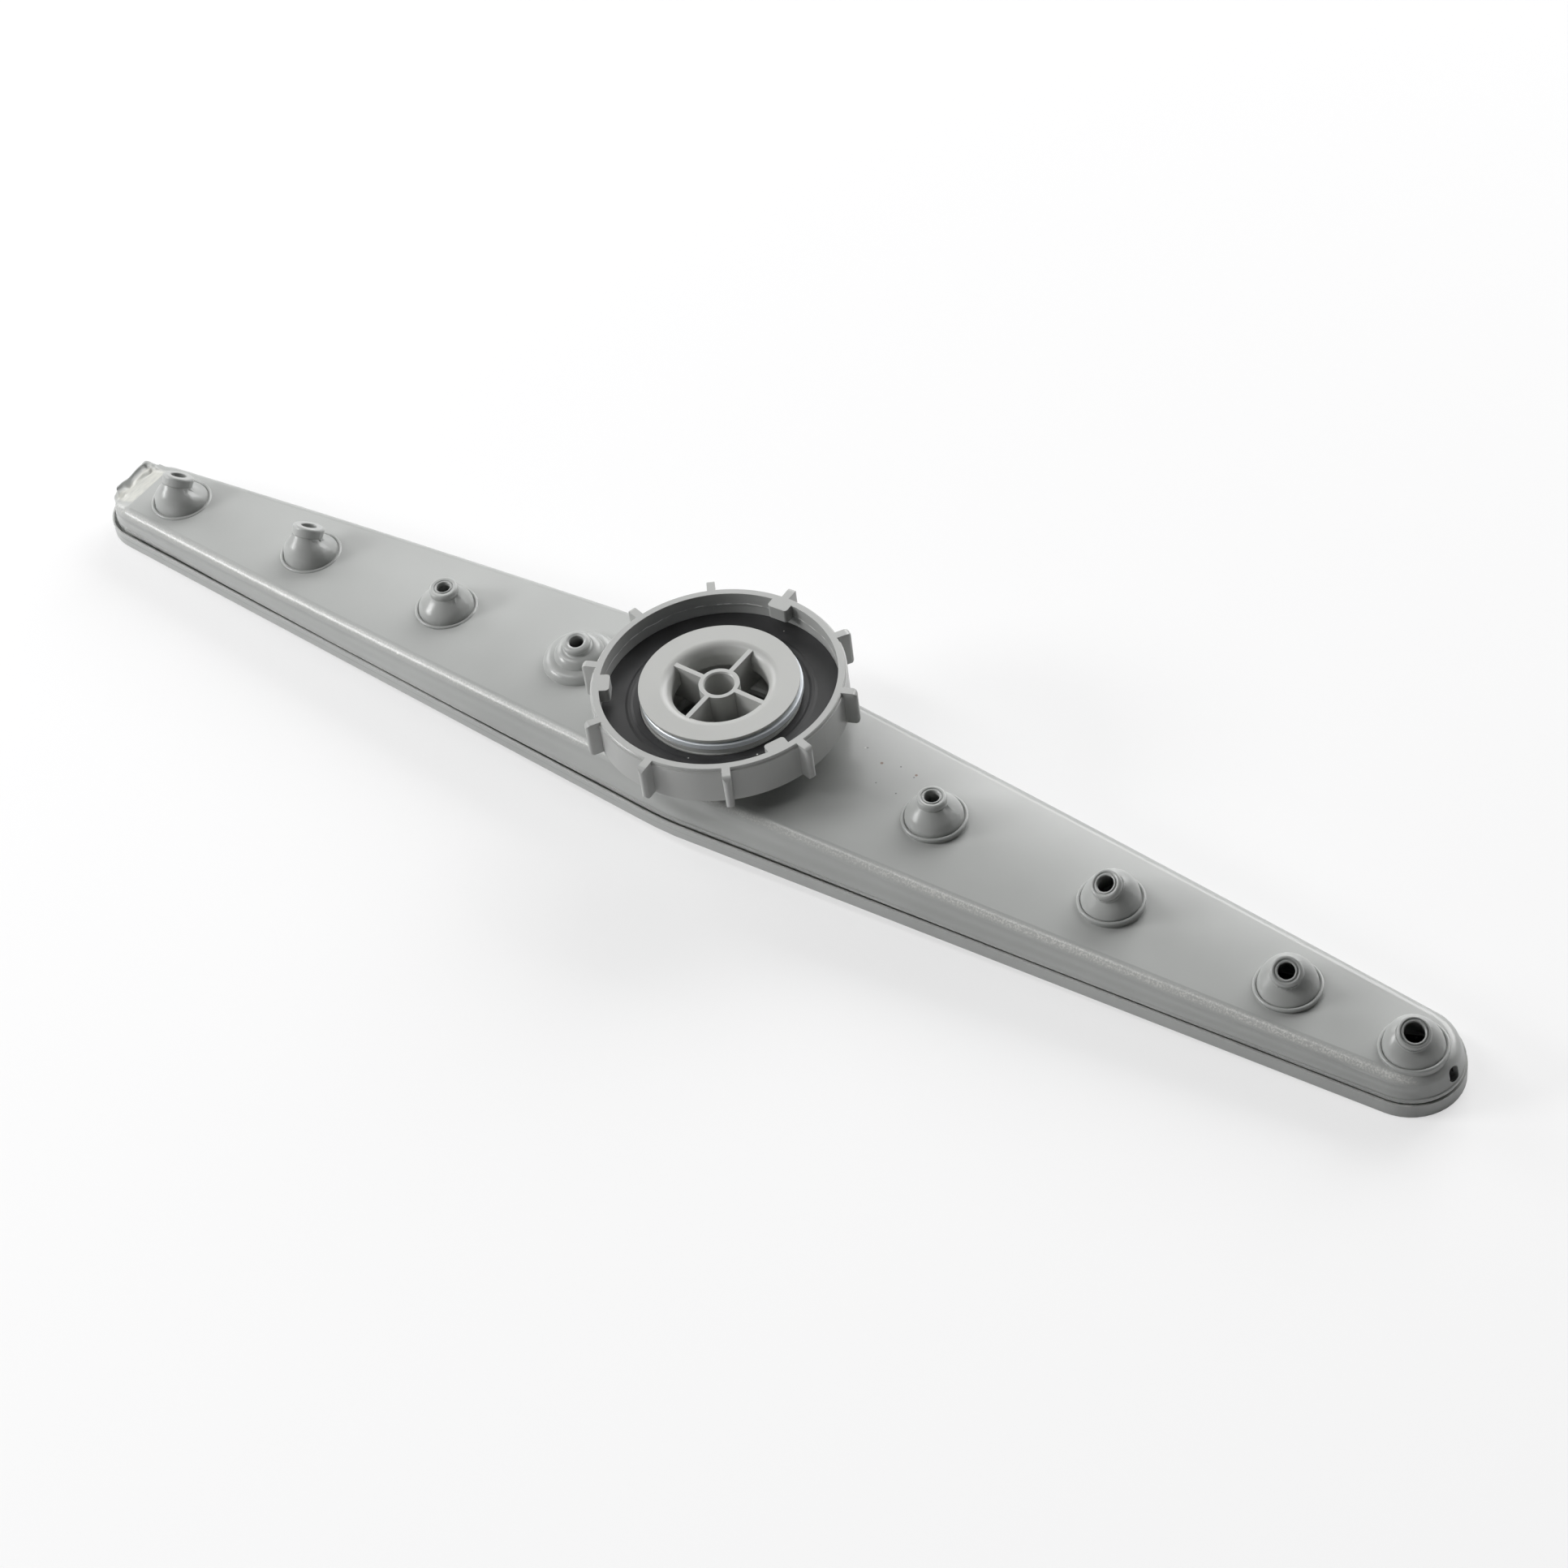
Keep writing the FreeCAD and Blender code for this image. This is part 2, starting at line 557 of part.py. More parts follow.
def skirt_bead():
    """Small bead that runs round the lower edge of the skirt."""
    skirt = RIM_HEIGHT + GAP_HEIGHT
    half = RIM_HALF_WIDTH - SKIRT_SET_BACK
    right = RIGHT_END_RADIUS - RIGHT_SET_BACK
    left = LEFT_END_RADIUS - SKIRT_SET_BACK
    blocks = []
    for inset in (-SKIRT_BEAD_OUT, SKIRT_BEAD_OUT):
        wire = plan_wire(half, right, left, -LOW_ROOM, inset, LEFT_PULL)
        blocks.append(Part.Face(wire).extrude(V(0, 0, ROOM)))
    bead = blocks[0].cut(blocks[1]).common(slab(skirt, RIM_FALL, skirt + SKIRT_BEAD_HEIGHT, RIM_FALL))
    left_end = Part.makeBox(ROOM, 2.0 * ROOM, ROOM, V(FOLD_X - ROOM, -ROOM, -LOW_ROOM))
    return bead.cut(left_end)


def lower_shell():
    rim = plan_prism(0.0).common(slab(RIM_HEIGHT - BAND_HEIGHT, RIM_FALL, RIM_HEIGHT, RIM_FALL))
    seat = plan_prism(RIM_LIP).common(slab(RIM_HEIGHT - RIM_DEPTH, RIM_FALL, RIM_HEIGHT + OVER_RIM, RIM_FALL))
    well = plan_prism(SHELF)
    well = well.common(slab(RIM_HEIGHT - BAND_HEIGHT + FLOOR, RIM_FALL, RIM_HEIGHT + OVER_RIM, RIM_FALL))
    shell = rim.cut(seat).cut(well)
    top = RIM_HEIGHT - BAND_HEIGHT + BELLY_JOIN
    r = BELLY_RADIUS
    k = BELLY_ROUNDING
    s = k * math.sin(math.radians(45))
    outline = [
        Part.makeLine(V(0, 0, 0), V(r - k, 0, 0)),
        Part.Arc(V(r - k, 0, 0), V(r - k + s, 0, k - s), V(r, 0, k)).toShape(),
        Part.makeLine(V(r, 0, k), V(r, 0, top)),
        Part.makeLine(V(r, 0, top), V(0, 0, top)),
        Part.makeLine(V(0, 0, top), V(0, 0, 0)),
    ]
    belly = Part.Face(Part.Wire(outline)).revolve(V(0, 0, 0), V(0, 0, 1), 360)
    inside = Part.makeCylinder(r - BELLY_WALL, ROOM / 2.0, V(0, 0, BELLY_FLOOR))
    rings = [e for e in inside.Edges if len(e.Vertexes) == 1]
    inner_edge = [e for e in rings if e.Vertexes[0].Point.z < 1.1 * BELLY_FLOOR]
    inside = inside.makeFillet(BELLY_INNER_ROUNDING, inner_edge)
    inside = inside.common(plan_prism(SHELF))
    shell = shell.fuse(belly).cut(inside)
    return shell


def revolved(points):
    wire = Part.makePolygon([V(r, 0, z) for r, z in points] + [V(points[0][0], 0, points[0][1])])
    return Part.Face(wire).revolve(V(0, 0, 0), V(0, 0, 1), 360)


def inlet_hub():
    mouth = MOUTH_RADIUS - THROAT_RADIUS
    s = mouth * (1.0 - math.sin(math.radians(45)))
    edge_bottom = HUB_TOP - FLANGE_EDGE
    cone_bottom = THROAT_BOTTOM - THROAT_CONE
    body = half_profile([
        Part.Arc(V(MOUTH_RADIUS, 0, HUB_TOP), V(THROAT_RADIUS + s, 0, HUB_TOP - s),
                 V(THROAT_RADIUS, 0, HUB_TOP - mouth)).toShape(),
        Part.makeLine(V(THROAT_RADIUS, 0, HUB_TOP - mouth), V(THROAT_RADIUS, 0, THROAT_BOTTOM)),
        Part.makeLine(V(THROAT_RADIUS, 0, THROAT_BOTTOM), V(NECK_BORE, 0, cone_bottom)),
        Part.makeLine(V(NECK_BORE, 0, cone_bottom), V(NECK_BORE, 0, HUB_FOOT)),
        Part.makeLine(V(NECK_BORE, 0, HUB_FOOT), V(NECK_RADIUS, 0, HUB_FOOT)),
        Part.makeLine(V(NECK_RADIUS, 0, HUB_FOOT), V(NECK_RADIUS, 0, edge_bottom)),
        Part.makeLine(V(NECK_RADIUS, 0, edge_bottom), V(FLANGE_RADIUS - 0.6, 0, edge_bottom)),
        Part.Arc(V(FLANGE_RADIUS - 0.6, 0, edge_bottom), V(FLANGE_RADIUS - 0.15, 0, edge_bottom + 0.22),
                 V(FLANGE_RADIUS, 0, edge_bottom + 0.7)).toShape(),
        Part.makeLine(V(FLANGE_RADIUS, 0, edge_bottom + 0.7), V(FLANGE_RADIUS, 0, HUB_TOP)),
        Part.makeLine(V(FLANGE_RADIUS, 0, HUB_TOP), V(MOUTH_RADIUS, 0, HUB_TOP)),
    ])
    body = body.fuse(Part.makeCylinder(TUBE_RADIUS, SPOKE_TOP - TUBE_BOTTOM, V(0, 0, TUBE_BOTTOM)))
    reach = NECK_BORE + 0.4
    for turn in (0, 90):
        bar = Part.makeBox(2 * reach, SPOKE, SPOKE_TOP - SPOKE_BOTTOM, V(-reach, -SPOKE / 2, SPOKE_BOTTOM))
        bar.rotate(V(0, 0, 0), V(0, 0, 1), turn)
        body = body.fuse(bar)
    body = body.cut(Part.makeCylinder(TUBE_BORE, HUB_TOP, V(0, 0, 0)))
    widest = TUBE_BORE + TUBE_LEAD_IN
    lead_in = Part.makeCone(TUBE_BORE, widest, TUBE_LEAD_IN, V(0, 0, SPOKE_TOP - TUBE_LEAD_IN))
    return body.cut(lead_in).removeSplitter()


def locking_ring():
    low_bore = RING_BORE + PARTING_STEP
    parting = RING_TOP - LUG_HEIGHT
    ledge = GASKET_TOP + 0.25
    wall = COLLAR_RADIUS - COLLAR_STEP
    points = [
        (RUNNING_BORE, RING_BOTTOM),
        (RING_RADIUS, RING_BOTTOM),
        (RING_RADIUS, RING_TOP - RIM_STEP_HEIGHT),
        (RING_RADIUS - RIM_STEP, RING_TOP - RIM_STEP_HEIGHT + 0.15),
        (RING_RADIUS - RIM_STEP, RING_TOP - 0.3),
        (RING_RADIUS - RIM_STEP - 0.3, RING_TOP),
        (RING_BORE, RING_TOP),
        (RING_BORE, parting),
        (low_bore, parting),
        (low_bore, FLOOR_TOP),
        (COLLAR_RADIUS, FLOOR_TOP),
        (COLLAR_RADIUS, ledge),
        (wall, ledge + 0.1),
        (wall, COLLAR_TOP - COLLAR_CHAMFER),
        (wall - COLLAR_CHAMFER, COLLAR_TOP),
        (RUNNING_BORE, COLLAR_TOP),
    ]
    ring = revolved(points)
    for i in range(RIB_COUNT):
        ring = ring.fuse(grip_rib(RIB_START + i * 360.0 / RIB_COUNT))
    for angle in LUG_ANGLES:
        ring = ring.fuse(bayonet_lug(angle))
    return ring.removeSplitter()


def grip_rib(angle):
    """Upright grip rib with a round outer edge and rounded ends, as two profiles that meet."""
    half = RIB_THICKNESS / 2.0
    start = RING_RADIUS - RIB_ROOT
    end = RIB_REACH - half
    top = RING_TOP
    foot = RING_BOTTOM + RIB_FOOT_RISE
    seen_from_above = Part.Wire([
        Part.makeLine(V(start, -half, 0), V(end, -half, 0)),
        Part.Arc(V(end, -half, 0), V(RIB_REACH, 0, 0), V(end, half, 0)).toShape(),
        Part.makeLine(V(end, half, 0), V(start, half, 0)),
        Part.makeLine(V(start, half, 0), V(start, -half, 0)),
    ])
    upper = RIB_TOP_ROUNDING
    lower = RIB_FOOT_ROUNDING
    u = upper * (1.0 - math.sin(math.radians(45)))
    w = lower * (1.0 - math.sin(math.radians(45)))
    reach = RIB_REACH
    seen_from_side = Part.Wire([
        Part.makeLine(V(start, 0, foot), V(reach - lower, 0, foot)),
        Part.Arc(V(reach - lower, 0, foot), V(reach - w, 0, foot + w), V(reach, 0, foot + lower)).toShape(),
        Part.makeLine(V(reach, 0, foot + lower), V(reach, 0, top - upper)),
        Part.Arc(V(reach, 0, top - upper), V(reach - u, 0, top - u), V(reach - upper, 0, top)).toShape(),
        Part.makeLine(V(reach - upper, 0, top), V(start, 0, top)),
        Part.makeLine(V(start, 0, top), V(start, 0, foot)),
    ])
    upright = Part.Face(seen_from_above).extrude(V(0, 0, 2.0 * RING_TOP))
    side = Part.Face(seen_from_side)
    side.translate(V(0, -RIB_THICKNESS, 0))
    rib = side.extrude(V(0, 2.0 * RIB_THICKNESS, 0)).common(upright)
    rib.rotate(V(0, 0, 0), V(0, 0, 1), angle)
    return rib


def bayonet_lug(angle):
    """Inward lug, flush with the top of the ring, with rounded corners."""
    depth = RING_BORE + LUG_ROOT - LUG_RADIUS
    block = Part.makeBox(depth, LUG_WIDTH, LUG_HEIGHT, V(LUG_RADIUS, -LUG_WIDTH / 2, RING_TOP - LUG_HEIGHT))
    corners = [e for e in block.Edges
               if all(abs(v.Point.x - LUG_RADIUS) < 1e-6 for v in e.Vertexes)
               and abs(e.Vertexes[0].Point.z - e.Vertexes[-1].Point.z) > 1.0]
    block = block.makeFillet(LUG_ROUNDING, corners)
    block.rotate(V(0, 0, 0), V(0, 0, 1), angle)
    return block


def gasket():
    inner = COLLAR_RADIUS + GASKET_PLAY
    outer = RING_BORE + PARTING_STEP - GASKET_PLAY
    bead = COLLAR_RADIUS + BEAD_PLACE
    points = [
        (inner, FLOOR_TOP),
        (outer, FLOOR_TOP),
        (outer, GASKET_TOP),
        (bead + BEAD_HALF_WIDTH, GASKET_TOP),
        (bead + 0.4 * BEAD_HALF_WIDTH, GASKET_TOP + BEAD_HEIGHT),
        (bead - 0.4 * BEAD_HALF_WIDTH, GASKET_TOP + BEAD_HEIGHT),
        (bead - BEAD_HALF_WIDTH, GASKET_TOP),
        (inner, GASKET_TOP),
    ]
    return revolved(points)


def slide_ring():
    low = COLLAR_TOP
    high = COLLAR_TOP + SLIDE_RING_HEIGHT
    outer = SLIDE_RING_BORE + SLIDE_RING_WIDTH
    edge = SLIDE_RING_EDGE
    points = [
        (SLIDE_RING_BORE, low),
        (outer - edge, low),
        (outer, low + edge),
        (outer, high - edge),
        (outer - edge, high),
        (SLIDE_RING_BORE, high),
    ]
    ring = revolved(points)
    ring.translate(V(SLIDE_RING_OFFSET[0], SLIDE_RING_OFFSET[1], 0))
    return ring


PIECES = {
    "upper_shell": upper_shell,
    "lower_shell": lower_shell,
    "inlet_hub": inlet_hub,
    "locking_ring": locking_ring,
    "gasket": gasket,
    "slide_ring": slide_ring,
}

for name, build in PIECES.items():
    shape = build()
    print(name, "valid", shape.isValid(), "solids", len(shape.Solids), "volume", round(shape.Volume, 1),
          "box", [round(v, 2) for v in (shape.BoundBox.XMin, shape.BoundBox.YMin, shape.BoundBox.ZMin,
                                        shape.BoundBox.XMax, shape.BoundBox.YMax, shape.BoundBox.ZMax)])
    shape.exportStep("parts/" + name + ".step")
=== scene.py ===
import collections
import math

import bmesh
import bpy
from mathutils import Matrix, Quaternion, Vector


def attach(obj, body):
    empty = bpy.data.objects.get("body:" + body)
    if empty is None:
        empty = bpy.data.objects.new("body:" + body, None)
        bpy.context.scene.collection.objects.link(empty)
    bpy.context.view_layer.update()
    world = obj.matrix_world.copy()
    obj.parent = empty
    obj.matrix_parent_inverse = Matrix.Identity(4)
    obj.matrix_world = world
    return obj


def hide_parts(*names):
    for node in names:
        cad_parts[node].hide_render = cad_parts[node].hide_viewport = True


# Looks of a grey moulded dishwasher spray arm: satin plastic, black gasket, turned steel
# ring, the upper shell with its tilted mouths and crushed left end, and a pale studio
# around it. Lengths in metres where nothing else is said.

MM = 0.001

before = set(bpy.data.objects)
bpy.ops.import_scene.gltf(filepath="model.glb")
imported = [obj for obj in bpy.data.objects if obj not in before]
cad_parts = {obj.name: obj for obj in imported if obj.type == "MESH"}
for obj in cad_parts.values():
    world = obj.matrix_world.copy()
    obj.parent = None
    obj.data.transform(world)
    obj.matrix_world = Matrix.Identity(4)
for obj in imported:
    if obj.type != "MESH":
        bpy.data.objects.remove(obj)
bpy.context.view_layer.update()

# Sizes of the arm that the materials and the dented shell need, repeated from its source
TOP_HEIGHT = 21.79 * MM       # top face over the hub, and its fall along the wings
TOP_FALL = 0.0403
RIM_HEIGHT = 11.7 * MM        # top edge of the lower rim, and its fall
RIM_FALL = 0.0307
BAND_LINE = 1.95 * MM         # the moulding line lies this far under that edge
PARTING_HEIGHT = 35.3 * MM    # parting line inside the ring
FACET_START = -217.8 * MM     # fold of the pressed end, and its whitened part
PALE_END = -225.3 * MM
PALE_FRONT = -7.2 * MM
PALE_BACK = 8.2 * MM
CROWN_RADIUS = 170 * MM       # the top face is crowned this gently
WALL_WAVE = 0.28 * MM         # the walls are hollow under the shoulder and full below it
WALL_WAVE_START = 2.2 * MM    # so far under the top face
SKIRT_HEIGHT = 13.2 * MM
SKIRT_DROP = 0.7 * MM         # the seam under the skirt looks this much narrower
SKIRT_EDGE = (-0.22 * MM, 0.05 * MM)   # its edge lies this near to the line of the skirt

# Colours, linear
ARM_GREY = (0.425, 0.435, 0.425)
LOWER_GREY = (0.47, 0.48, 0.47)
RING_GREY = (0.44, 0.446, 0.436)
HUB_GREY = (0.485, 0.49, 0.475)
WHITENED = (0.60, 0.60, 0.555)
DIRT = (0.12, 0.085, 0.06)
LINE_GREY = (0.16, 0.165, 0.16)
BROWN = (0.16, 0.075, 0.03)
DARK_SPECK = (0.05, 0.05, 0.05)
# pale colour of dust, also used for the painted highlights on the shoulder and on edges
DUST_AND_HIGHLIGHT = (0.75, 0.75, 0.72)
FLASH_WHITE = (0.92, 0.92, 0.90)
RUBBER_BLACK = (0.030, 0.030, 0.031)
STEEL = (0.80, 0.84, 0.88)
FLOOR_WHITE = (0.93, 0.93, 0.935)

# Tone and grain of the moulded plastic: sizes of its features, and how light and dark it gets
CLOUD_SIZE = 45 * MM
FINE_SIZE = 0.9 * MM
ROUGH_SIZE = 2.5 * MM
PEBBLE_SIZE = 0.45 * MM
GRAIN_HEIGHT = 0.006 * MM
DARKER = 0.93
LIGHTER = 1.05
ROUGHNESS = 0.30
HUB_ROUGHNESS = 0.34
EDGE_SOFTENING = 0.18 * MM
CONTRAST = (0.3, 0.7)         # the part of a noise that is stretched to its full range

# Specks on the plastic: spacing, radius, share of the cells, strength, shift and colour
SPECKS = (
    (14 * MM, 0.28 * MM, 0.16, 0.55, (0.0, 0.0, 0.0), DIRT),
    (11 * MM, 0.22 * MM, 0.12, 0.6, (3 * MM, 7 * MM, 1 * MM), DUST_AND_HIGHLIGHT),
)
RUBBER_DUST = (5 * MM, 0.2 * MM, 0.22)

# Soft edges of the masks, each from where it starts to where it is full
PARTING_EDGE = (0.20 * MM, 0.10 * MM)        # distance from the parting line
PARTING_OUTER = (33.3 * MM, 33.1 * MM)       # the line is only on the bore of the ring
PARTING_INNER = (32.4 * MM, 32.7 * MM)
PARTING_BACK = (4 * MM, 12 * MM)             # and only at the back
PARTING_WANDER = 1.6 * MM
BAND_LINE_EDGE = (0.16 * MM, 0.05 * MM)      # distance from the line of the band
BAND_LINE_LEFT = (60 * MM, -40 * MM)         # which shows on the left wing
LIP_EDGE = (0.22 * MM, 0.10 * MM)            # painted highlight on the top edge of the lower rim
FOOT_EDGE = (0.42 * MM, 0.22 * MM)           # painted highlight on the lower edge of the skirt
RIDGE_TOP = (0.02 * MM, 0.4 * MM)            # scuffed ridge and painted highlight on the front shoulder
RIDGE_FOOT = (1.9 * MM, 0.9 * MM)
RIDGE_FRONT = (-8 * MM, -10 * MM)
RIDGE_RIGHT = (30 * MM, 90 * MM)             # the painted highlight is stronger on the right wing
SHOULDER_TOP = (0.15 * MM, 0.5 * MM)         # the grain is coarser on the shoulders
SHOULDER_FOOT = (2.8 * MM, 1.8 * MM)
WALL_SIDES = (9 * MM, 11 * MM)               # the walls lie this far from the middle
PALE_WANDER = 2.2 * MM                       # how irregular the whitened part is
PALE_SOFT = 0.7 * MM
PALE_CORNER = ((-227.4, -5.9, 10.2), 1.0, (1.0, 0.9, 3.0))   # millimetres and stretch

# Single marks of use, in millimetres: centre, radius and colour
ARM_MARKS = (
    ((45.5, 9.8, 20.0), 0.55, BROWN),
    ((56.0, 11.0, 19.5), 0.5, BROWN),
    ((50.7, 11.4, 19.75), 0.3, DARK_SPECK),
    ((55.9, 10.0, 19.5), 0.28, DARK_SPECK),
    ((55.0, 2.6, 19.6), 0.3, DARK_SPECK),
    ((48.2, 3.0, 19.85), 0.25, DARK_SPECK),
    ((39.0, 12.5, 20.2), 0.3, DARK_SPECK),
    ((38.4, 12.2, 20.2), 0.25, DUST_AND_HIGHLIGHT),
    ((-101.98, -20.64, 16.68), 0.5, DUST_AND_HIGHLIGHT),
)
MARK_STRENGTH = 0.85
GASKET_MARKS = (
    ((21.67, -13.19, 31.75), 0.35, DUST_AND_HIGHLIGHT),
    ((6.03, -23.5, 31.75), 0.28, DUST_AND_HIGHLIGHT),
)

# Crushed end, in millimetres, and its dents with their centres, radii and pushes
CRUSH_START = -216.8          # it reaches from here to the left end
CRUSH_FOOT = 7.6              # and from here upwards
CRUSH_FADE = 1.5              # it sets in over this distance
CRUSH_GRID = 0.6              # size of the small faces it is cut into
CRUSH_BOX = ((-231.0, CRUSH_START), (-15.5, 15.5), (6.0, 14.0))
CUT_TOLERANCE = 1e-8          # in metres
WELD_DISTANCE = 0.0005 * MM
ROUND_SHARE = 0.55            # how far a corner goes to the middle of its neighbours
ROUNDS_BEFORE = 6             # rounds of evening out before and after the dents
ROUNDS_AFTER = 2
DENTS = (
    ((-225.4, -1.4, 12.4), (1.0, 1.7, 3.0), (0.35, 0.1, -1.1)),
    ((-224.2, -6.8, 10.8), (1.4, 1.6, 2.6), (0.8, 0.8, -0.5)),
    ((-226.9, -6.2, 10.4), (0.9, 1.1, 3.0), (-0.35, -0.35, 0.1)),
    ((-228.2, -3.2, 9.6), (1.2, 0.8, 3.4), (0.6, 0.25, 0.0)),
    ((-224.6, 5.0, 12.2), (0.55, 2.6, 2.0), (0.0, 0.0, 0.55)),
    ((-223.6, 6.6, 12.2), (0.55, 2.4, 2.0), (0.0, 0.0, -0.7)),
    ((-225.6, 7.6, 12.4), (0.7, 1.2, 2.0), (0.0, 0.0, -0.6)),
    ((-227.4, 1.2, 12.6), (1.8, 2.0, 1.6), (0.15, 0.0, -0.4)),
    ((-227.6, 6.0, 12.6), (1.6, 1.6, 1.6), (0.1, 0.0, 0.2)),
)

# Nozzles, in millimetres and degrees: place along and across the arm, height of the base
# ring, height of the mouth, length of its straight part, lean of the moulded form across
# and along, and the tilt that the mouth has in the end
NOZZLES = (
    (-204.6, 0.45, 0.6, 7.9, 3.1, (15.0, -4.8), (33.0, -1.5)),
    (-152.7, 0.45, 0.6, 8.25, 3.1, (17.8, -5.8), (33.0, -2.5)),
    (-100.6, 0.45, 0.7, 7.2, 2.0, (2.8, 0.5), (-1.5, -0.5)),
    (69.0, 0.45, 1.4, 7.6, 2.2, (-1.0, 0.0), (0.5, 2.5)),
    (124.7, 0.45, 1.7, 9.05, 2.4, (-18.6, 2.5), (-26.0, -3.0)),
    (178.1, 0.15, 1.2, 8.3, 2.4, (-16.9, 7.0), (-27.0, 15.0)),
    (214.9, -0.5, 1.4, 7.45, 2.2, (-13.2, 8.5), (-16.0, 21.0)),
)
NOZZLE_REACH = 10.0           # everything this near above a base ring belongs to its nozzle
BELL_FOOT = 8.15              # radius of the bell's foot
BELL_FULL = 0.035             # the bell is wider by this share between foot and neck,
BELL_MIDDLE = 2.6             # up to this section,
NECK_DRAW = 0.11              # and narrower by this share under the mouth,
NECK_PLACE = 3.35             # round this section
NECK_WIDTH = 0.45
BEAD_DEPTH = 0.5              # the bell starts this far under the top of the ring's bead
FOOT_DEPTH = 0.82             # its lowest section, as moulded
BEND_FADE = 0.8               # the bending sets in over this height
PLINTH_RISE = 0.15            # under this height only the bell moves, not the base ring
HALVINGS = 18                 # how often the search for a section halves its range
ROUND_NORMALS = 0.88          # faces that turn less than this cosine share their normal
CRUSHED_NORMALS = 0.7         # the same on the crushed end

# Slot of the end jet, in millimetres: its place, axis and line, its half width and the ends
# of the slot along its line, and how much wider its mouth is on each side
JET_PLACE = Vector((227.9, -0.5, 9.7))
JET_AXIS = Vector((0.788, -0.12, 0.616))
JET_LINE = Vector((-1.2, 0.4, 1.2))
JET_HALF = 1.15
JET_ENDS = (-1.15, 2.89)
JET_WIDER = 0.6
JET_FADE = 2.6                # the widening fades out over this distance to both sides,
JET_END_FADE = 1.4            # over this past the ends of the slot,
JET_INSIDE = (-6.0, -4.0)     # and between these depths

# Camera of the photograph
CAMERA_PLACE = Vector((0.525524, -0.574104, 0.796232))
CAMERA_AZIMUTH = 41.48
CAMERA_ELEVATION = 45.87
CAMERA_ROLL = -8.47
CAMERA_LENS = 91.53
SENSOR = 36.0

# Soft lamps around the arm: direction, distance, size in metres, power and turn in degrees
LAMPS = {
    "back_middle": ((-0.12, 0.88, 0.46), 3.2, (2.6, 1.8), 78.0, 0.0),
    "back_left": ((-0.5, 0.62, 0.60), 3.2, (1.6, 1.2), 10.0, 0.0),
    "back_right": ((0.32, 0.85, 0.48), 1.5, (1.0, 0.8), 5.5, 0.0),
    "left_front": ((-0.72, -0.55, 0.42), 1.6, (0.5, 0.36), 11.5, 0.0),
    "left": ((-0.9, 0.1, 0.42), 1.8, (0.9, 0.7), 9.0, 0.0),
    "overhead_strip": ((-0.43, -0.355, 0.78), 3.2, (2.4, 0.32), 29.0, 45.8),
}
FLOOR_LIFT = 0.6              # share of plain white that the camera sees in the floor
REFLECTED_WHITE = 0.25        # how bright the studio is in reflections
FLOOR_SIZE = 12.0


# Node helpers

def new_tree(name):
    """Empty material and its node tree."""
    material = bpy.data.materials.new(name)
    material.use_nodes = True
    material.node_tree.nodes.clear()
    return material, material.node_tree


def add(tree, kind, inputs=None, **settings):
    """New node with its settings, and sockets or constants for its inputs."""
    node = tree.nodes.new(kind)
    for name, value in settings.items():
        setattr(node, name, value)
    for name, value in (inputs or {}).items():
        if isinstance(value, bpy.types.NodeSocket):
            tree.links.new(value, node.inputs[name])
        else:
            node.inputs[name].default_value = value
    return node


def calc(tree, operation, first, second=0.0, clamp=False):
    """Result of one operation on sockets or constants."""
    inputs = {0: first, 1: second}
    return add(tree, "ShaderNodeMath", inputs, operation=operation, use_clamp=clamp).outputs[0]


def product(tree, first, *others):
    """All values multiplied with each other."""
    for value in others:
        first = calc(tree, "MULTIPLY", first, value)
    return first


def remap(tree, value, low, high, to_low=0.0, to_high=1.0):
    """Clamped linear map, a soft edge where low and high are close."""
    inputs = {"Value": value, "From Min": low, "From Max": high, "To Min": to_low, "To Max": to_high}
    return add(tree, "ShaderNodeMapRange", inputs, clamp=True).outputs[0]


def mix(tree, amount, first, second):
    """Colour between two colours, each a socket or a constant."""
    node = add(tree, "ShaderNodeMix", {0: amount}, data_type="RGBA")
    for index, value in ((6, first), (7, second)):
        if isinstance(value, bpy.types.NodeSocket):
            tree.links.new(value, node.inputs[index])
        else:
            node.inputs[index].default_value = (*value, 1.0)
    return node.outputs[2]


def place(tree):
    """Position on the object, in metres, which follows it in every pose."""
    coordinates = add(tree, "ShaderNodeTexCoord").outputs["Object"]
    split = add(tree, "ShaderNodeSeparateXYZ", {0: coordinates})
    return coordinates, split.outputs[0], split.outputs[1], split.outputs[2]


def noise(tree, vector, size, detail=2.0, stretch=(1.0, 1.0, 1.0), shift=(0.0, 0.0, 0.0)):
    """Noise whose features are about the given size in metres, stretched along an axis."""
    scale = tuple(1.0 / (size * s) for s in stretch)
    moved = add(tree, "ShaderNodeMapping", {"Vector": vector, "Scale": scale, "Location": shift})
    inputs = {"Vector": moved.outputs[0], "Scale": 1.0, "Detail": detail}
    return add(tree, "ShaderNodeTexNoise", inputs).outputs["Fac"]


def specks(tree, vector, spacing, radius, share, shift=(0.0, 0.0, 0.0)):
    """Mask of small round specks in a given share of the cells."""
    moved = add(tree, "ShaderNodeMapping", {"Vector": vector, "Location": shift})
    cells = add(tree, "ShaderNodeTexVoronoi", {"Vector": moved.outputs[0], "Scale": 1.0 / spacing})
    near = remap(tree, cells.outputs["Distance"], radius / spacing, 0.6 * radius / spacing)
    split = add(tree, "ShaderNodeSeparateColor", {0: cells.outputs["Color"]})
    chosen = remap(tree, split.outputs[0], share, share * 0.98)
    return calc(tree, "MULTIPLY", near, chosen)


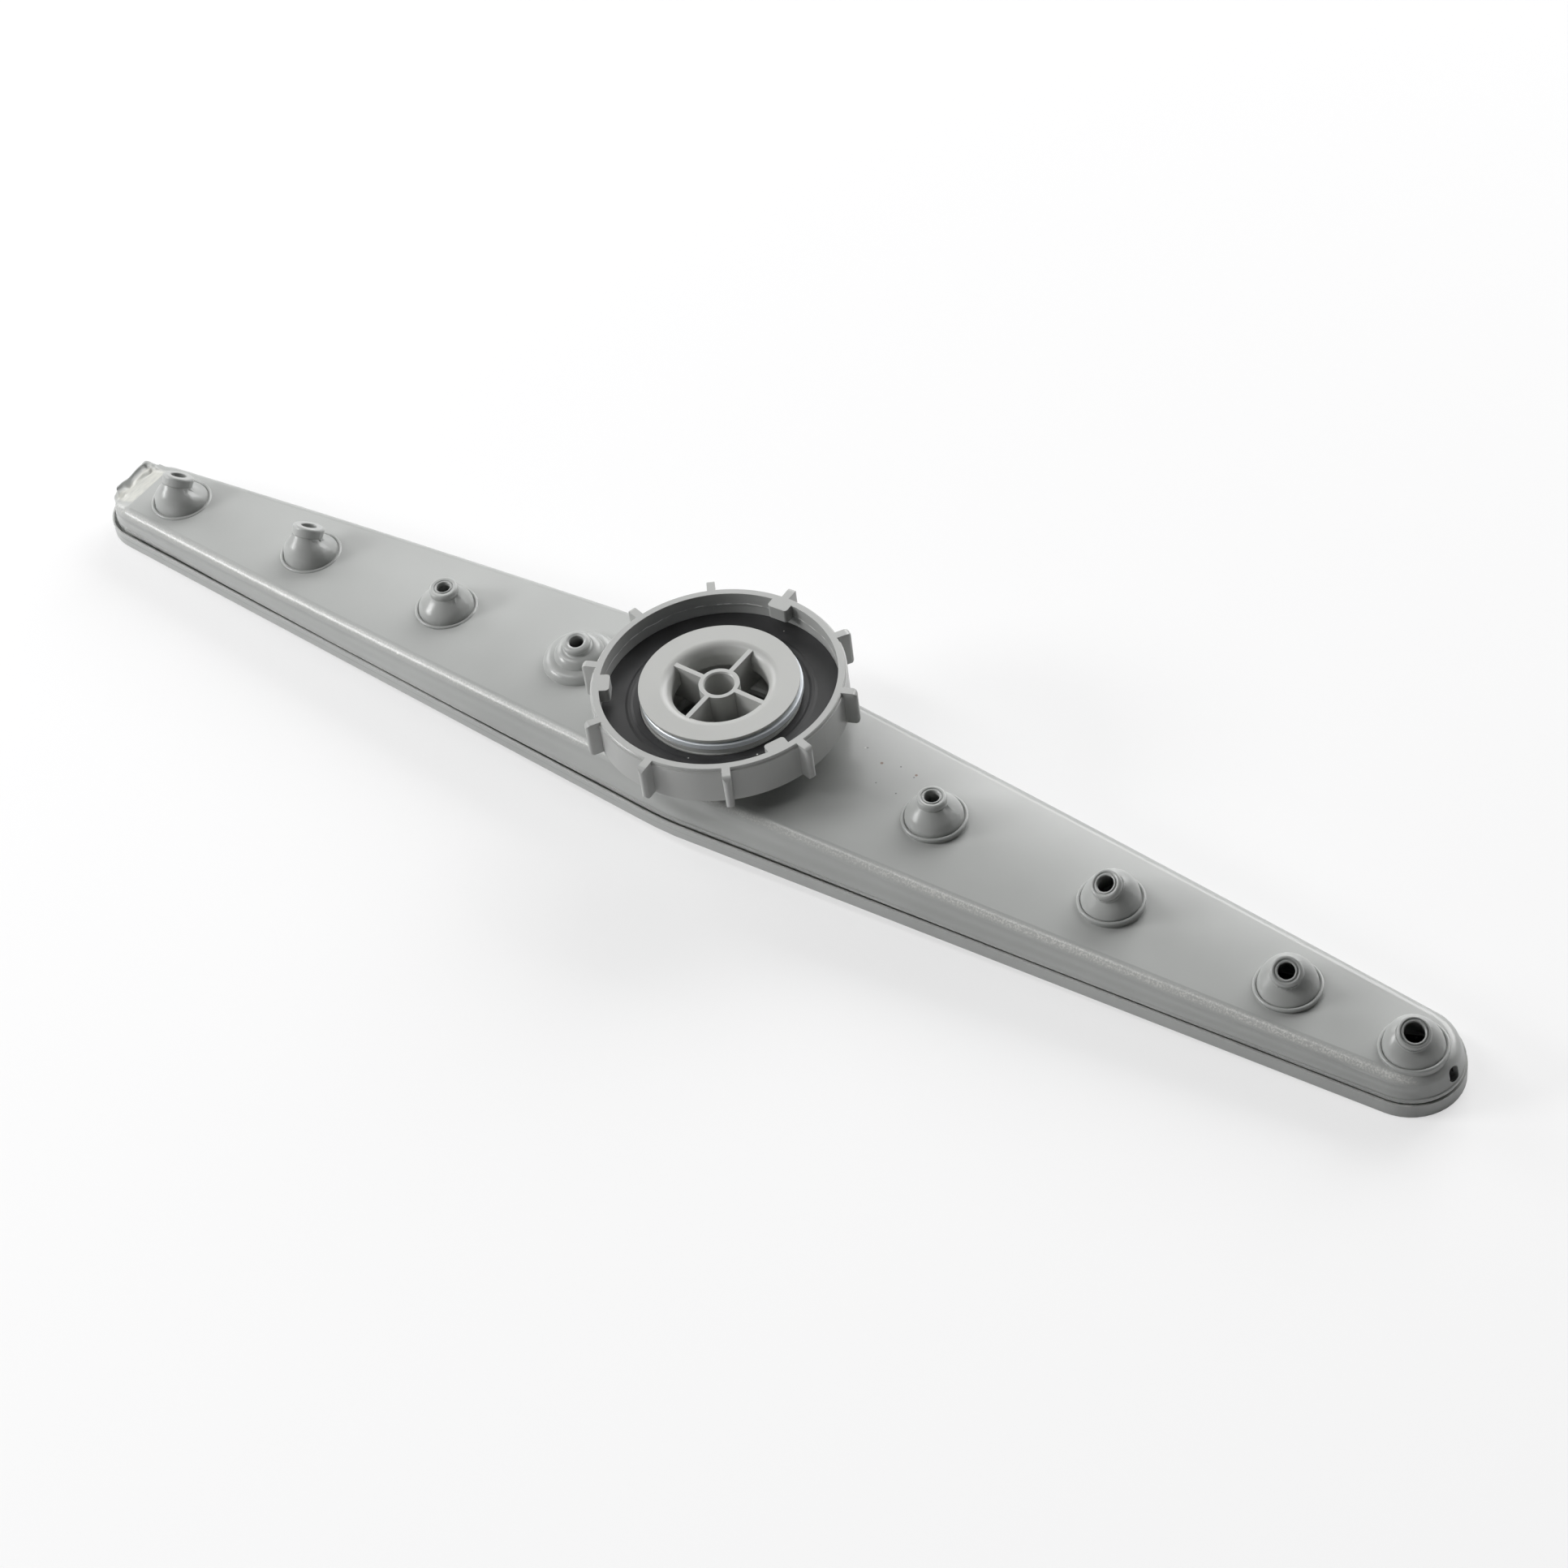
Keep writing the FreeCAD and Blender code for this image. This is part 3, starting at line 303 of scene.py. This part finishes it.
def spot(tree, coordinates, centre, radius, stretch=(1.0, 1.0, 1.0)):
    """Mask of one small spot, its centre and radius in millimetres."""
    middle = [c * MM for c in centre]
    aside = add(tree, "ShaderNodeVectorMath", {0: coordinates, 1: middle}, operation="SUBTRACT")
    wide = add(tree, "ShaderNodeVectorMath", {0: aside.outputs[0], 1: stretch}, operation="DIVIDE")
    far = add(tree, "ShaderNodeVectorMath", {0: wide.outputs[0]}, operation="LENGTH").outputs["Value"]
    return remap(tree, far, radius * MM, 0.55 * radius * MM)


def marked(tree, coordinates, tone, marks):
    """The tone with single spots of other colours on it."""
    for centre, radius, colour in marks:
        mask = calc(tree, "MULTIPLY", spot(tree, coordinates, centre, radius), MARK_STRENGTH)
        tone = mix(tree, mask, tone, colour)
    return tone


def finish_surface(material, tree, colour, roughness, grain, height, form=None, **constants):
    """Principled surface with softened edges, shallow forms in metres and a fine bump."""
    normal = add(tree, "ShaderNodeBevel", {"Radius": EDGE_SOFTENING}, samples=4).outputs[0]
    if form is not None:
        inputs = {"Height": form, "Distance": 1.0, "Normal": normal}
        normal = add(tree, "ShaderNodeBump", inputs).outputs[0]
    inputs = {"Height": grain, "Distance": height, "Strength": 1.0, "Normal": normal}
    bump = add(tree, "ShaderNodeBump", inputs)
    surface = add(tree, "ShaderNodeBsdfPrincipled", {"Base Color": colour, "Roughness": roughness})
    tree.links.new(bump.outputs[0], surface.inputs["Normal"])
    for name, value in constants.items():
        surface.inputs[name.replace("_", " ")].default_value = value
    add(tree, "ShaderNodeOutputMaterial", {"Surface": surface.outputs[0]})
    return material


def crown(tree, y):
    """Height of the gentle crown across the top face, highest along the middle of the arm."""
    return product(tree, y, y, -0.5 / CROWN_RADIUS)


def side_line(tree, x, height, fall):
    """Height of a line of the side view, which falls from the hub to both ends."""
    return calc(tree, "SUBTRACT", height, calc(tree, "MULTIPLY", calc(tree, "ABSOLUTE", x), fall))


Plastic = collections.namedtuple("Plastic", "material tree coordinates x y z tone rough grain")


def plastic(name, colour, roughness=ROUGHNESS):
    """Satin moulded plastic with cloudy tone, fine grain, small specks and dust."""
    material, tree = new_tree(name)
    coordinates, x, y, z = place(tree)
    darker = tuple(DARKER * c for c in colour)
    lighter = tuple(min(1.0, LIGHTER * c) for c in colour)
    cloud = noise(tree, coordinates, CLOUD_SIZE, 3.0)
    tone = mix(tree, remap(tree, cloud, *CONTRAST), darker, lighter)
    fine = noise(tree, coordinates, FINE_SIZE, 4.0)
    tone = mix(tree, remap(tree, fine, 0.35, 0.75, 0.0, 0.10), tone, lighter)
    for spacing, radius, share, strength, shift, speck_colour in SPECKS:
        mask = specks(tree, coordinates, spacing, radius, share, shift)
        tone = mix(tree, calc(tree, "MULTIPLY", mask, strength), tone, speck_colour)
    uneven = noise(tree, coordinates, ROUGH_SIZE, 3.0)
    rough = remap(tree, uneven, *CONTRAST, roughness - 0.015, roughness + 0.02)
    grain = noise(tree, coordinates, PEBBLE_SIZE)
    return Plastic(material, tree, coordinates, x, y, z, tone, rough, grain)


def finish_plastic(base, form=None):
    """Finished material of a moulded plastic."""
    parts = (base.material, base.tree, base.tone, base.rough, base.grain)
    return finish_surface(*parts, GRAIN_HEIGHT, form)


def ring_plastic():
    """Plastic of the ring, with the broken pale line where the halves of its mould met."""
    base = plastic("ring_plastic", RING_GREY)
    tree = base.tree
    flat = add(tree, "ShaderNodeCombineXYZ", {0: base.x, 1: base.y}).outputs[0]
    reach = add(tree, "ShaderNodeVectorMath", {0: flat}, operation="LENGTH").outputs["Value"]
    wander = calc(tree, "SUBTRACT", noise(tree, base.coordinates, 7 * MM, 3.0), 0.5)
    level = calc(tree, "ADD", calc(tree, "MULTIPLY", wander, PARTING_WANDER), PARTING_HEIGHT)
    away = calc(tree, "ABSOLUTE", calc(tree, "SUBTRACT", base.z, level))
    to_the_back = calc(tree, "SUBTRACT", base.y, calc(tree, "MULTIPLY", base.x, 0.6))
    line = product(
        tree,
        remap(tree, away, *PARTING_EDGE),
        remap(tree, reach, *PARTING_OUTER),
        remap(tree, reach, *PARTING_INNER),
        remap(tree, noise(tree, base.coordinates, 3 * MM), 0.40, 0.52, 0.15, 1.0),
        remap(tree, to_the_back, *PARTING_BACK),
    )
    return finish_plastic(base._replace(tone=mix(tree, line, base.tone, FLASH_WHITE)))


def hub_plastic():
    """Lighter and a little duller plastic of the hub."""
    return finish_plastic(plastic("hub_plastic", HUB_GREY, HUB_ROUGHNESS))


def lower_plastic():
    """Plastic of the lower shell, with a faint moulding line along its upright band and a painted
    highlight on the top edge of its rim.
    """
    base = plastic("lower_plastic", LOWER_GREY)
    tree = base.tree
    below = calc(tree, "SUBTRACT", side_line(tree, base.x, RIM_HEIGHT, RIM_FALL), base.z)
    away = calc(tree, "ABSOLUTE", calc(tree, "SUBTRACT", below, BAND_LINE))
    line = product(
        tree,
        remap(tree, away, *BAND_LINE_EDGE),
        remap(tree, base.x, *BAND_LINE_LEFT, 0.0, 0.55),
        remap(tree, noise(tree, base.coordinates, 9 * MM), 0.3, 0.6, 0.4, 1.0),
    )
    tone = mix(tree, line, base.tone, LINE_GREY)
    # painted highlight along the top edge of the rim, broken up by noise
    highlight_breaks = remap(tree, noise(tree, base.coordinates, 2.0 * MM), 0.35, 0.6, 0.3, 1.0)
    lip_highlight = product(tree, remap(tree, below, *LIP_EDGE), highlight_breaks, 0.35)
    return finish_plastic(base._replace(tone=mix(tree, lip_highlight, tone, DUST_AND_HIGHLIGHT)))


def pressed_white(base):
    """Mask of the plastic that went white where the left end was pressed flat."""
    tree = base.tree
    uneven = calc(tree, "SUBTRACT", noise(tree, base.coordinates, 4 * MM, 3.0), 0.5)
    wander = calc(tree, "MULTIPLY", uneven, PALE_WANDER)
    along = calc(tree, "ADD", base.x, calc(tree, "MULTIPLY", wander, 0.3))
    across = calc(tree, "ADD", base.y, wander)
    streaks = noise(tree, base.coordinates, 1.6 * MM, 4.0, (0.6, 2.2, 1.0))
    white = product(
        tree,
        remap(tree, along, FACET_START, FACET_START - 0.35 * MM),
        remap(tree, along, PALE_END - 1.0 * MM, PALE_END + 0.6 * MM),
        remap(tree, across, PALE_FRONT - PALE_SOFT, PALE_FRONT + PALE_SOFT),
        remap(tree, across, PALE_BACK + PALE_SOFT, PALE_BACK - PALE_SOFT),
        remap(tree, streaks, 0.25, 0.6, 0.35, 1.0),
    )
    corner = calc(tree, "MULTIPLY", spot(tree, base.coordinates, *PALE_CORNER), 0.8)
    return calc(tree, "MAXIMUM", white, corner)


def scuffed_ridge_and_painted_highlight(base, below):
    """Mask of the scuffed ridge and painted highlight along the front shoulder, with painted glints.
    """
    tree = base.tree
    painted_glint = remap(tree, noise(tree, base.coordinates, 0.5 * MM, 3.0), 0.46, 0.62)
    return product(
        tree,
        remap(tree, below, *RIDGE_TOP),
        remap(tree, below, *RIDGE_FOOT),
        remap(tree, base.y, *RIDGE_FRONT),
        calc(tree, "ADD", calc(tree, "MULTIPLY", painted_glint, 0.34), 0.16),
        remap(tree, base.x, *RIDGE_RIGHT, 1.0, 1.8),
    )


def wall_form(base, below, above):
    """Height of the crown across the top face and of the shallow waves of the walls."""
    tree = base.tree
    depth = calc(tree, "SUBTRACT", below, WALL_WAVE_START)
    share = calc(tree, "DIVIDE", depth, calc(tree, "ADD", depth, above), clamp=True)
    wave = calc(tree, "SINE", calc(tree, "MULTIPLY", share, math.tau))
    outside = remap(tree, calc(tree, "ABSOLUTE", base.y), *WALL_SIDES)
    return calc(tree, "SUBTRACT", crown(tree, base.y), product(tree, wave, outside, WALL_WAVE))


def upper_plastic():
    """Plastic of the upper shell, white where it was pressed, with a scuffed ridge and painted
    highlight along the front shoulder and a painted highlight on the lower edge of the skirt.
    """
    base = plastic("upper_plastic", ARM_GREY)
    tree = base.tree
    skirt = side_line(tree, base.x, SKIRT_HEIGHT - SKIRT_DROP, RIM_FALL)
    above = calc(tree, "SUBTRACT", base.z, skirt)
    below = calc(tree, "SUBTRACT", side_line(tree, base.x, TOP_HEIGHT, TOP_FALL), base.z)
    tone = mix(tree, pressed_white(base), base.tone, WHITENED)
    tone = marked(tree, base.coordinates, tone, ARM_MARKS)
    # scuffed ridge with painted highlight and painted glints along the front shoulder
    tone = mix(tree, scuffed_ridge_and_painted_highlight(base, below), tone, DUST_AND_HIGHLIGHT)
    # painted highlight along the lower edge of the skirt, broken into dashes by noise
    highlight_breaks = remap(tree, noise(tree, base.coordinates, 1.2 * MM), 0.42, 0.6)
    tone = mix(tree, product(tree, remap(tree, above, *FOOT_EDGE), highlight_breaks, 0.5), tone, DUST_AND_HIGHLIGHT)
    shoulder = product(tree, remap(tree, below, *SHOULDER_TOP), remap(tree, below, *SHOULDER_FOOT))
    coarser = calc(tree, "ADD", calc(tree, "MULTIPLY", shoulder, 0.8), 1.0)
    grain = calc(tree, "MULTIPLY", base.grain, coarser)
    return finish_plastic(base._replace(tone=tone, grain=grain), wall_form(base, below, above))


def rubber():
    """Dull black rubber with a cloudy surface and dust."""
    material, tree = new_tree("gasket_rubber")
    coordinates = place(tree)[0]
    cloud = noise(tree, coordinates, 8 * MM, 4.0)
    lighter = tuple(1.5 * c for c in RUBBER_BLACK)
    tone = mix(tree, remap(tree, cloud, *CONTRAST), RUBBER_BLACK, lighter)
    dust = specks(tree, coordinates, *RUBBER_DUST)
    tone = mix(tree, calc(tree, "MULTIPLY", dust, 0.8), tone, DUST_AND_HIGHLIGHT)
    tone = marked(tree, coordinates, tone, GASKET_MARKS)
    rough = remap(tree, cloud, *CONTRAST, 0.42, 0.55)
    return finish_surface(material, tree, tone, rough, noise(tree, coordinates, 0.3 * MM), 0.01 * MM)


def turned_steel():
    """Steel with fine rings from turning."""
    material, tree = new_tree("turned_steel")
    coordinates = place(tree)[0]
    lines = noise(tree, coordinates, 0.25 * MM, 1.0, (40.0, 40.0, 1.0))
    darker = tuple(0.92 * c for c in STEEL)
    tone = mix(tree, remap(tree, lines, *CONTRAST), STEEL, darker)
    rough = remap(tree, lines, *CONTRAST, 0.46, 0.52)
    return finish_surface(material, tree, tone, rough, lines, 0.001 * MM, Metallic=0.4)


def dress(node, material):
    """Gives a CAD node its material."""
    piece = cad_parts[node]
    piece.data.materials.clear()
    piece.data.materials.append(material)


# Upper shell with its tilted mouths and crushed left end

def ramp(value, start, end):
    """Rises from 0 at the start to 1 at the end."""
    return min(1.0, max(0.0, (value - start) / (end - start)))


def push(point, centre, radii, amount):
    """Soft push round a centre, in millimetres, strongest there and gone two radii away."""
    reach = sum(((p - c) / r) ** 2 for p, c, r in zip(point, centre, radii))
    return Vector(amount) * math.exp(-reach)


def crush(point):
    """How far a point of the outer skin was pressed away, point and result in millimetres."""
    moved = Vector((0.0, 0.0, 0.0))
    for centre, radii, amount in DENTS:
        moved += push(point, centre, radii, amount)
    return moved


def crush_share(point):
    """Share of the crushing, 0 on the sound part of the arm and along the lower edge."""
    along = ramp(point.x, CRUSH_START, CRUSH_START - CRUSH_FADE)
    return along * ramp(point.z, CRUSH_FOOT, CRUSH_FOOT + CRUSH_FADE)


def round_off(mesh_data, corners, rounds):
    """Evens out the crushed corners, so that no edge there is as crisp as a cut."""
    for _ in range(rounds):
        places = {}
        for corner in corners:
            share = ROUND_SHARE * crush_share(corner.co / MM)
            if share > 0.0 and corner.link_edges:
                middle = Vector((0.0, 0.0, 0.0))
                for edge in corner.link_edges:
                    middle += edge.other_vert(corner).co
                places[corner] = corner.co.lerp(middle / len(corner.link_edges), share)
        for corner, place_now in places.items():
            corner.co = place_now
    mesh_data.normal_update()


def smooth_normal(face, corner, least):
    """Normal at one corner of a face from the faces round it that turn little."""
    total = Vector((0.0, 0.0, 0.0))
    for other in corner.link_faces:
        if other.normal.dot(face.normal) > least:
            total += other.normal * other.calc_area()
    return total.normalized() if total.length > 0.0 else face.normal


def lean_direction(across, along):
    """Direction of a nozzle that leans by so many degrees across and along the arm."""
    sx = math.sin(math.radians(along))
    sy = math.sin(math.radians(across))
    return Vector((sx, sy, math.sqrt(1.0 - sx * sx - sy * sy)))


def section_at(sections, share):
    """Centre and direction of one cross section of a nozzle, share from 0 to the last index."""
    index = min(int(share), len(sections) - 2)
    rest = share - index
    low, high = sections[index], sections[index + 1]
    return low[0].lerp(high[0], rest), low[1].lerp(high[1], rest).normalized()


def nozzle_sections(base, height, length, lean, tilt):
    """Cross sections of a nozzle's bell as it is moulded and as its tilted mouth bends it."""
    up = Vector((0.0, 0.0, 1.0))
    bell = height - length
    half_way = (up + lean).normalized()
    foot = (base - up * FOOT_DEPTH, up)
    moulded = [foot, (base + up * (0.22 * bell) + lean * (0.05 * bell), up),
               (base + half_way * (0.62 * bell), half_way),
               (base + lean * (0.86 * bell), lean), (base + lean * (1.02 * bell), lean)]
    mouth = base + lean * height
    neck = mouth - tilt * length
    turn = base + up * (0.5 * (neck.z - base.z))
    bent = [foot]
    for share in (0.26, 0.64, 0.88):
        centre = base * (1 - share) ** 2 + turn * (2 * share * (1 - share)) + neck * share ** 2
        bent.append((centre, up.lerp(tilt, share).normalized()))
    bent.append((neck + tilt * (0.02 * bell), tilt))
    return moulded, bent, mouth


def bell_width(share):
    """Factor on the bell's radius: a little fuller in the middle, drawn in under the mouth."""
    full = BELL_FULL * math.sin(math.pi * min(share, BELL_MIDDLE) / BELL_MIDDLE)
    return 1.0 + full - NECK_DRAW * math.exp(-((share - NECK_PLACE) / NECK_WIDTH) ** 2)


def bend_point(point, moulded, bent, mouth):
    """Where a point of the nozzle goes, the turn of its surroundings, and if it is on the bell."""
    last = len(moulded) - 1
    if (point - moulded[last][0]).dot(moulded[last][1]) >= 0.0:
        turn = moulded[last][1].rotation_difference(bent[last][1])
        return mouth + turn @ (point - mouth), turn, False
    low, high = 0.0, float(last)
    for _ in range(HALVINGS):
        middle = 0.5 * (low + high)
        centre, direction = section_at(moulded, middle)
        if (point - centre).dot(direction) > 0.0:
            low = middle
        else:
            high = middle
    centre, direction = section_at(moulded, low)
    new_centre, new_direction = section_at(bent, low)
    turn = direction.rotation_difference(new_direction)
    return new_centre + turn @ (point - centre) * bell_width(low), turn, True


def tilt_mouths(data, layer):
    """Bends the upper part of every nozzle over to the tilt of its mouth."""
    bells = []
    for x, y, step, height, length, lean, tilt in NOZZLES:
        base = Vector((x, y, (TOP_HEIGHT / MM) - TOP_FALL * abs(x) + step))
        family = nozzle_sections(base, height, length, lean_direction(*lean), lean_direction(*tilt))
        for corner in data.verts:
            point = corner.co / MM
            rise = point.z - base.z
            if abs(point.x - x) > NOZZLE_REACH or rise < -BEAD_DEPTH:
                continue
            aside = math.hypot(point.x - x, point.y - y)
            if aside > NOZZLE_REACH or (rise < PLINTH_RISE and aside > BELL_FOOT):
                continue
            share = min(1.0, (rise + BEAD_DEPTH) / BEND_FADE)
            moved, turn, on_bell = bend_point(point, *family)
            if on_bell and share >= 1.0:
                bells.append(corner)
            corner.co = point.lerp(moved, share) * MM
            part = Quaternion().slerp(turn, share)
            for loop in corner.link_loops:
                loop[layer] = part @ loop[layer]
    data.normal_update()
    for corner in bells:
        for loop in corner.link_loops:
            loop[layer] = smooth_normal(loop.face, corner, ROUND_NORMALS)


def lower_skirt(data):
    """Brings the lower edge of the skirt down, so that the seam under it is narrow."""
    for corner in data.verts:
        above = corner.co.z - (SKIRT_HEIGHT - RIM_FALL * abs(corner.co.x))
        if SKIRT_EDGE[0] < above < SKIRT_EDGE[1]:
            corner.co.z -= SKIRT_DROP


def widen_jet(data):
    """Opens the slot of the end jet to both sides of its own line."""
    axis = JET_AXIS.normalized()
    line = JET_LINE.normalized()
    aside = axis.cross(line).normalized()
    first, last = JET_ENDS
    for corner in data.verts:
        away = corner.co / MM - JET_PLACE
        along = away.dot(line)
        deep = away.dot(axis)
        wide = away.dot(aside)
        share = ramp(along, first - JET_END_FADE, first) * ramp(along, last + JET_END_FADE, last)
        share *= ramp(deep, *JET_INSIDE)
        share *= min(abs(wide) / JET_HALF, ramp(abs(wide), JET_HALF + JET_FADE, JET_HALF))
        corner.co += aside * (math.copysign(JET_WIDER, wide) * share * MM)


def cut_fine(data):
    """Cuts the left end into small faces and returns its corners."""
    whole = data.verts[:] + data.edges[:] + data.faces[:]
    start = (CRUSH_START * MM, 0, 0)
    bmesh.ops.bisect_plane(data, geom=whole, dist=CUT_TOLERANCE, plane_co=start, plane_no=(1, 0, 0))
    limit = (CRUSH_START + 0.001) * MM
    faces = [f for f in data.faces if all(v.co.x < limit for v in f.verts)]
    edges = {e for f in faces for e in f.edges}
    corners = {v for f in faces for v in f.verts}
    region = list(corners) + list(edges) + faces
    for axis, (low, high) in enumerate(CRUSH_BOX):
        count = round((high - low) / CRUSH_GRID)
        for step in range(1, count):
            through = [0.0, 0.0, 0.0]
            through[axis] = (low + (high - low) * step / count) * MM
            side = [0.0, 0.0, 0.0]
            side[axis] = 1.0
            plane = {"dist": CUT_TOLERANCE, "plane_co": through, "plane_no": side}
            region = bmesh.ops.bisect_plane(data, geom=region, **plane)["geom"]
    bmesh.ops.triangulate(data, faces=[g for g in region if isinstance(g, bmesh.types.BMFace)])
    return [v for v in data.verts if v.co.x < (CRUSH_START - 0.001) * MM]


def crush_end(data, layer):
    """Rounds off and dents the left end, and gives it the normals of its new shape."""
    corners = cut_fine(data)
    round_off(data, corners, ROUNDS_BEFORE)
    for corner in corners:
        point = corner.co / MM
        corner.co = (point + crush(point) * crush_share(point)) * MM
    round_off(data, corners, ROUNDS_AFTER)
    for face in {f for v in corners for f in v.link_faces}:
        for loop in face.loops:
            share = min(1.0, 3.0 * crush_share(loop.vert.co / MM))
            if share > 0.0:
                normal = smooth_normal(face, loop.vert, CRUSHED_NORMALS)
                loop[layer] = loop[layer].lerp(normal, share).normalized()


def dented_shell(material):
    """Copy of the upper shell as it really is: tilted mouths, narrow seam and crushed end."""
    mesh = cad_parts["upper_shell"].data.copy()
    mesh.name = "dented_upper_shell"
    kept = mesh.attributes.new("kept_normal", "FLOAT_VECTOR", "CORNER")
    kept.data.foreach_set("vector", [v for n in mesh.corner_normals for v in n.vector])
    data = bmesh.new()
    data.from_mesh(mesh)
    bmesh.ops.remove_doubles(data, verts=data.verts, dist=WELD_DISTANCE)
    layer = data.loops.layers.float_vector["kept_normal"]
    tilt_mouths(data, layer)
    lower_skirt(data)
    widen_jet(data)
    crush_end(data, layer)
    data.to_mesh(mesh)
    data.free()
    kept = mesh.attributes["kept_normal"]
    normals = [0.0] * (3 * len(mesh.loops))
    kept.data.foreach_get("vector", normals)
    mesh.polygons.foreach_set("use_smooth", [True] * len(mesh.polygons))
    mesh.normals_split_custom_set([normals[i:i + 3] for i in range(0, len(normals), 3)])
    mesh.attributes.remove(mesh.attributes["kept_normal"])
    piece = bpy.data.objects.new("dented_upper_shell", mesh)
    bpy.context.collection.objects.link(piece)
    mesh.materials.clear()
    mesh.materials.append(material)
    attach(piece, "arm")
    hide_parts("upper_shell")


# Studio

def studio_floor():
    """Pale floor that keeps the shadow and shows near white to the camera."""
    bpy.ops.mesh.primitive_plane_add(size=FLOOR_SIZE, location=(0, 0, 0))
    floor = bpy.context.object
    floor.name = "studio_floor"
    material, tree = new_tree("studio_white")
    matte = add(tree, "ShaderNodeBsdfDiffuse", {"Color": (*FLOOR_WHITE, 1.0)})
    lift = add(tree, "ShaderNodeEmission", {"Color": (1.0, 1.0, 1.0, 1.0), "Strength": 1.0})
    path = add(tree, "ShaderNodeLightPath")
    seen = calc(tree, "MULTIPLY", path.outputs["Is Camera Ray"], FLOOR_LIFT)
    shown = add(tree, "ShaderNodeMixShader", {0: seen, 1: matte.outputs[0], 2: lift.outputs[0]})
    add(tree, "ShaderNodeOutputMaterial", {"Surface": shown.outputs[0]})
    floor.data.materials.append(material)


def soft_light(name, direction, distance, size, power, turn):
    """Soft lamp that faces the middle of the arm."""
    lamp = bpy.data.lights.new(name, "AREA")
    lamp.shape = "RECTANGLE"
    lamp.size = size[0]
    lamp.size_y = size[1]
    lamp.energy = power
    holder = bpy.data.objects.new(name, lamp)
    bpy.context.collection.objects.link(holder)
    towards = Vector(direction).normalized()
    holder.location = towards * distance
    roll = Quaternion((0.0, 0.0, 1.0), math.radians(turn))
    holder.rotation_euler = (towards.to_track_quat("Z", "Y") @ roll).to_euler()


def studio_world():
    """White surroundings for the camera, dimmer in reflections, that add no light of their own."""
    world = bpy.data.worlds.new("studio_world")
    bpy.context.scene.world = world
    world.use_nodes = True
    tree = world.node_tree
    tree.nodes.clear()
    path = add(tree, "ShaderNodeLightPath")
    reflected = calc(tree, "MULTIPLY", path.outputs["Is Glossy Ray"], REFLECTED_WHITE)
    strength = calc(tree, "MAXIMUM", path.outputs["Is Camera Ray"], reflected)
    white = add(tree, "ShaderNodeBackground", {"Color": (1.0, 1.0, 1.0, 1.0), "Strength": strength})
    add(tree, "ShaderNodeOutputWorld", {"Surface": white.outputs[0]})


def photo_camera():
    """Camera of the photograph, turned, raised and rolled about its view line."""
    azimuth = math.radians(CAMERA_AZIMUTH)
    elevation = math.radians(CAMERA_ELEVATION)
    out = math.cos(elevation)
    back = Vector((math.sin(azimuth) * out, -math.cos(azimuth) * out, math.sin(elevation)))
    level = Vector((0, 0, 1)).cross(back).normalized()
    upright = Matrix((level, back.cross(level), back)).transposed()
    roll = Matrix.Rotation(math.radians(CAMERA_ROLL), 3, "Z")
    camera = bpy.data.objects.new("photo_camera", bpy.data.cameras.new("photo_camera"))
    bpy.context.collection.objects.link(camera)
    camera.matrix_world = Matrix.Translation(CAMERA_PLACE) @ (upright @ roll).to_4x4()
    camera.data.sensor_width = SENSOR
    camera.data.lens = CAMERA_LENS
    camera.data.clip_start = 0.01
    camera.data.clip_end = 50.0
    bpy.context.scene.camera = camera


def main():
    dented_shell(upper_plastic())
    dress("lower_shell", lower_plastic())
    dress("inlet_hub", hub_plastic())
    dress("locking_ring", ring_plastic())
    dress("gasket", rubber())
    dress("slide_ring", turned_steel())
    studio_floor()
    studio_world()
    for name, values in LAMPS.items():
        soft_light(name, *values)
    photo_camera()
    bpy.context.scene.view_settings.view_transform = "Standard"


main()
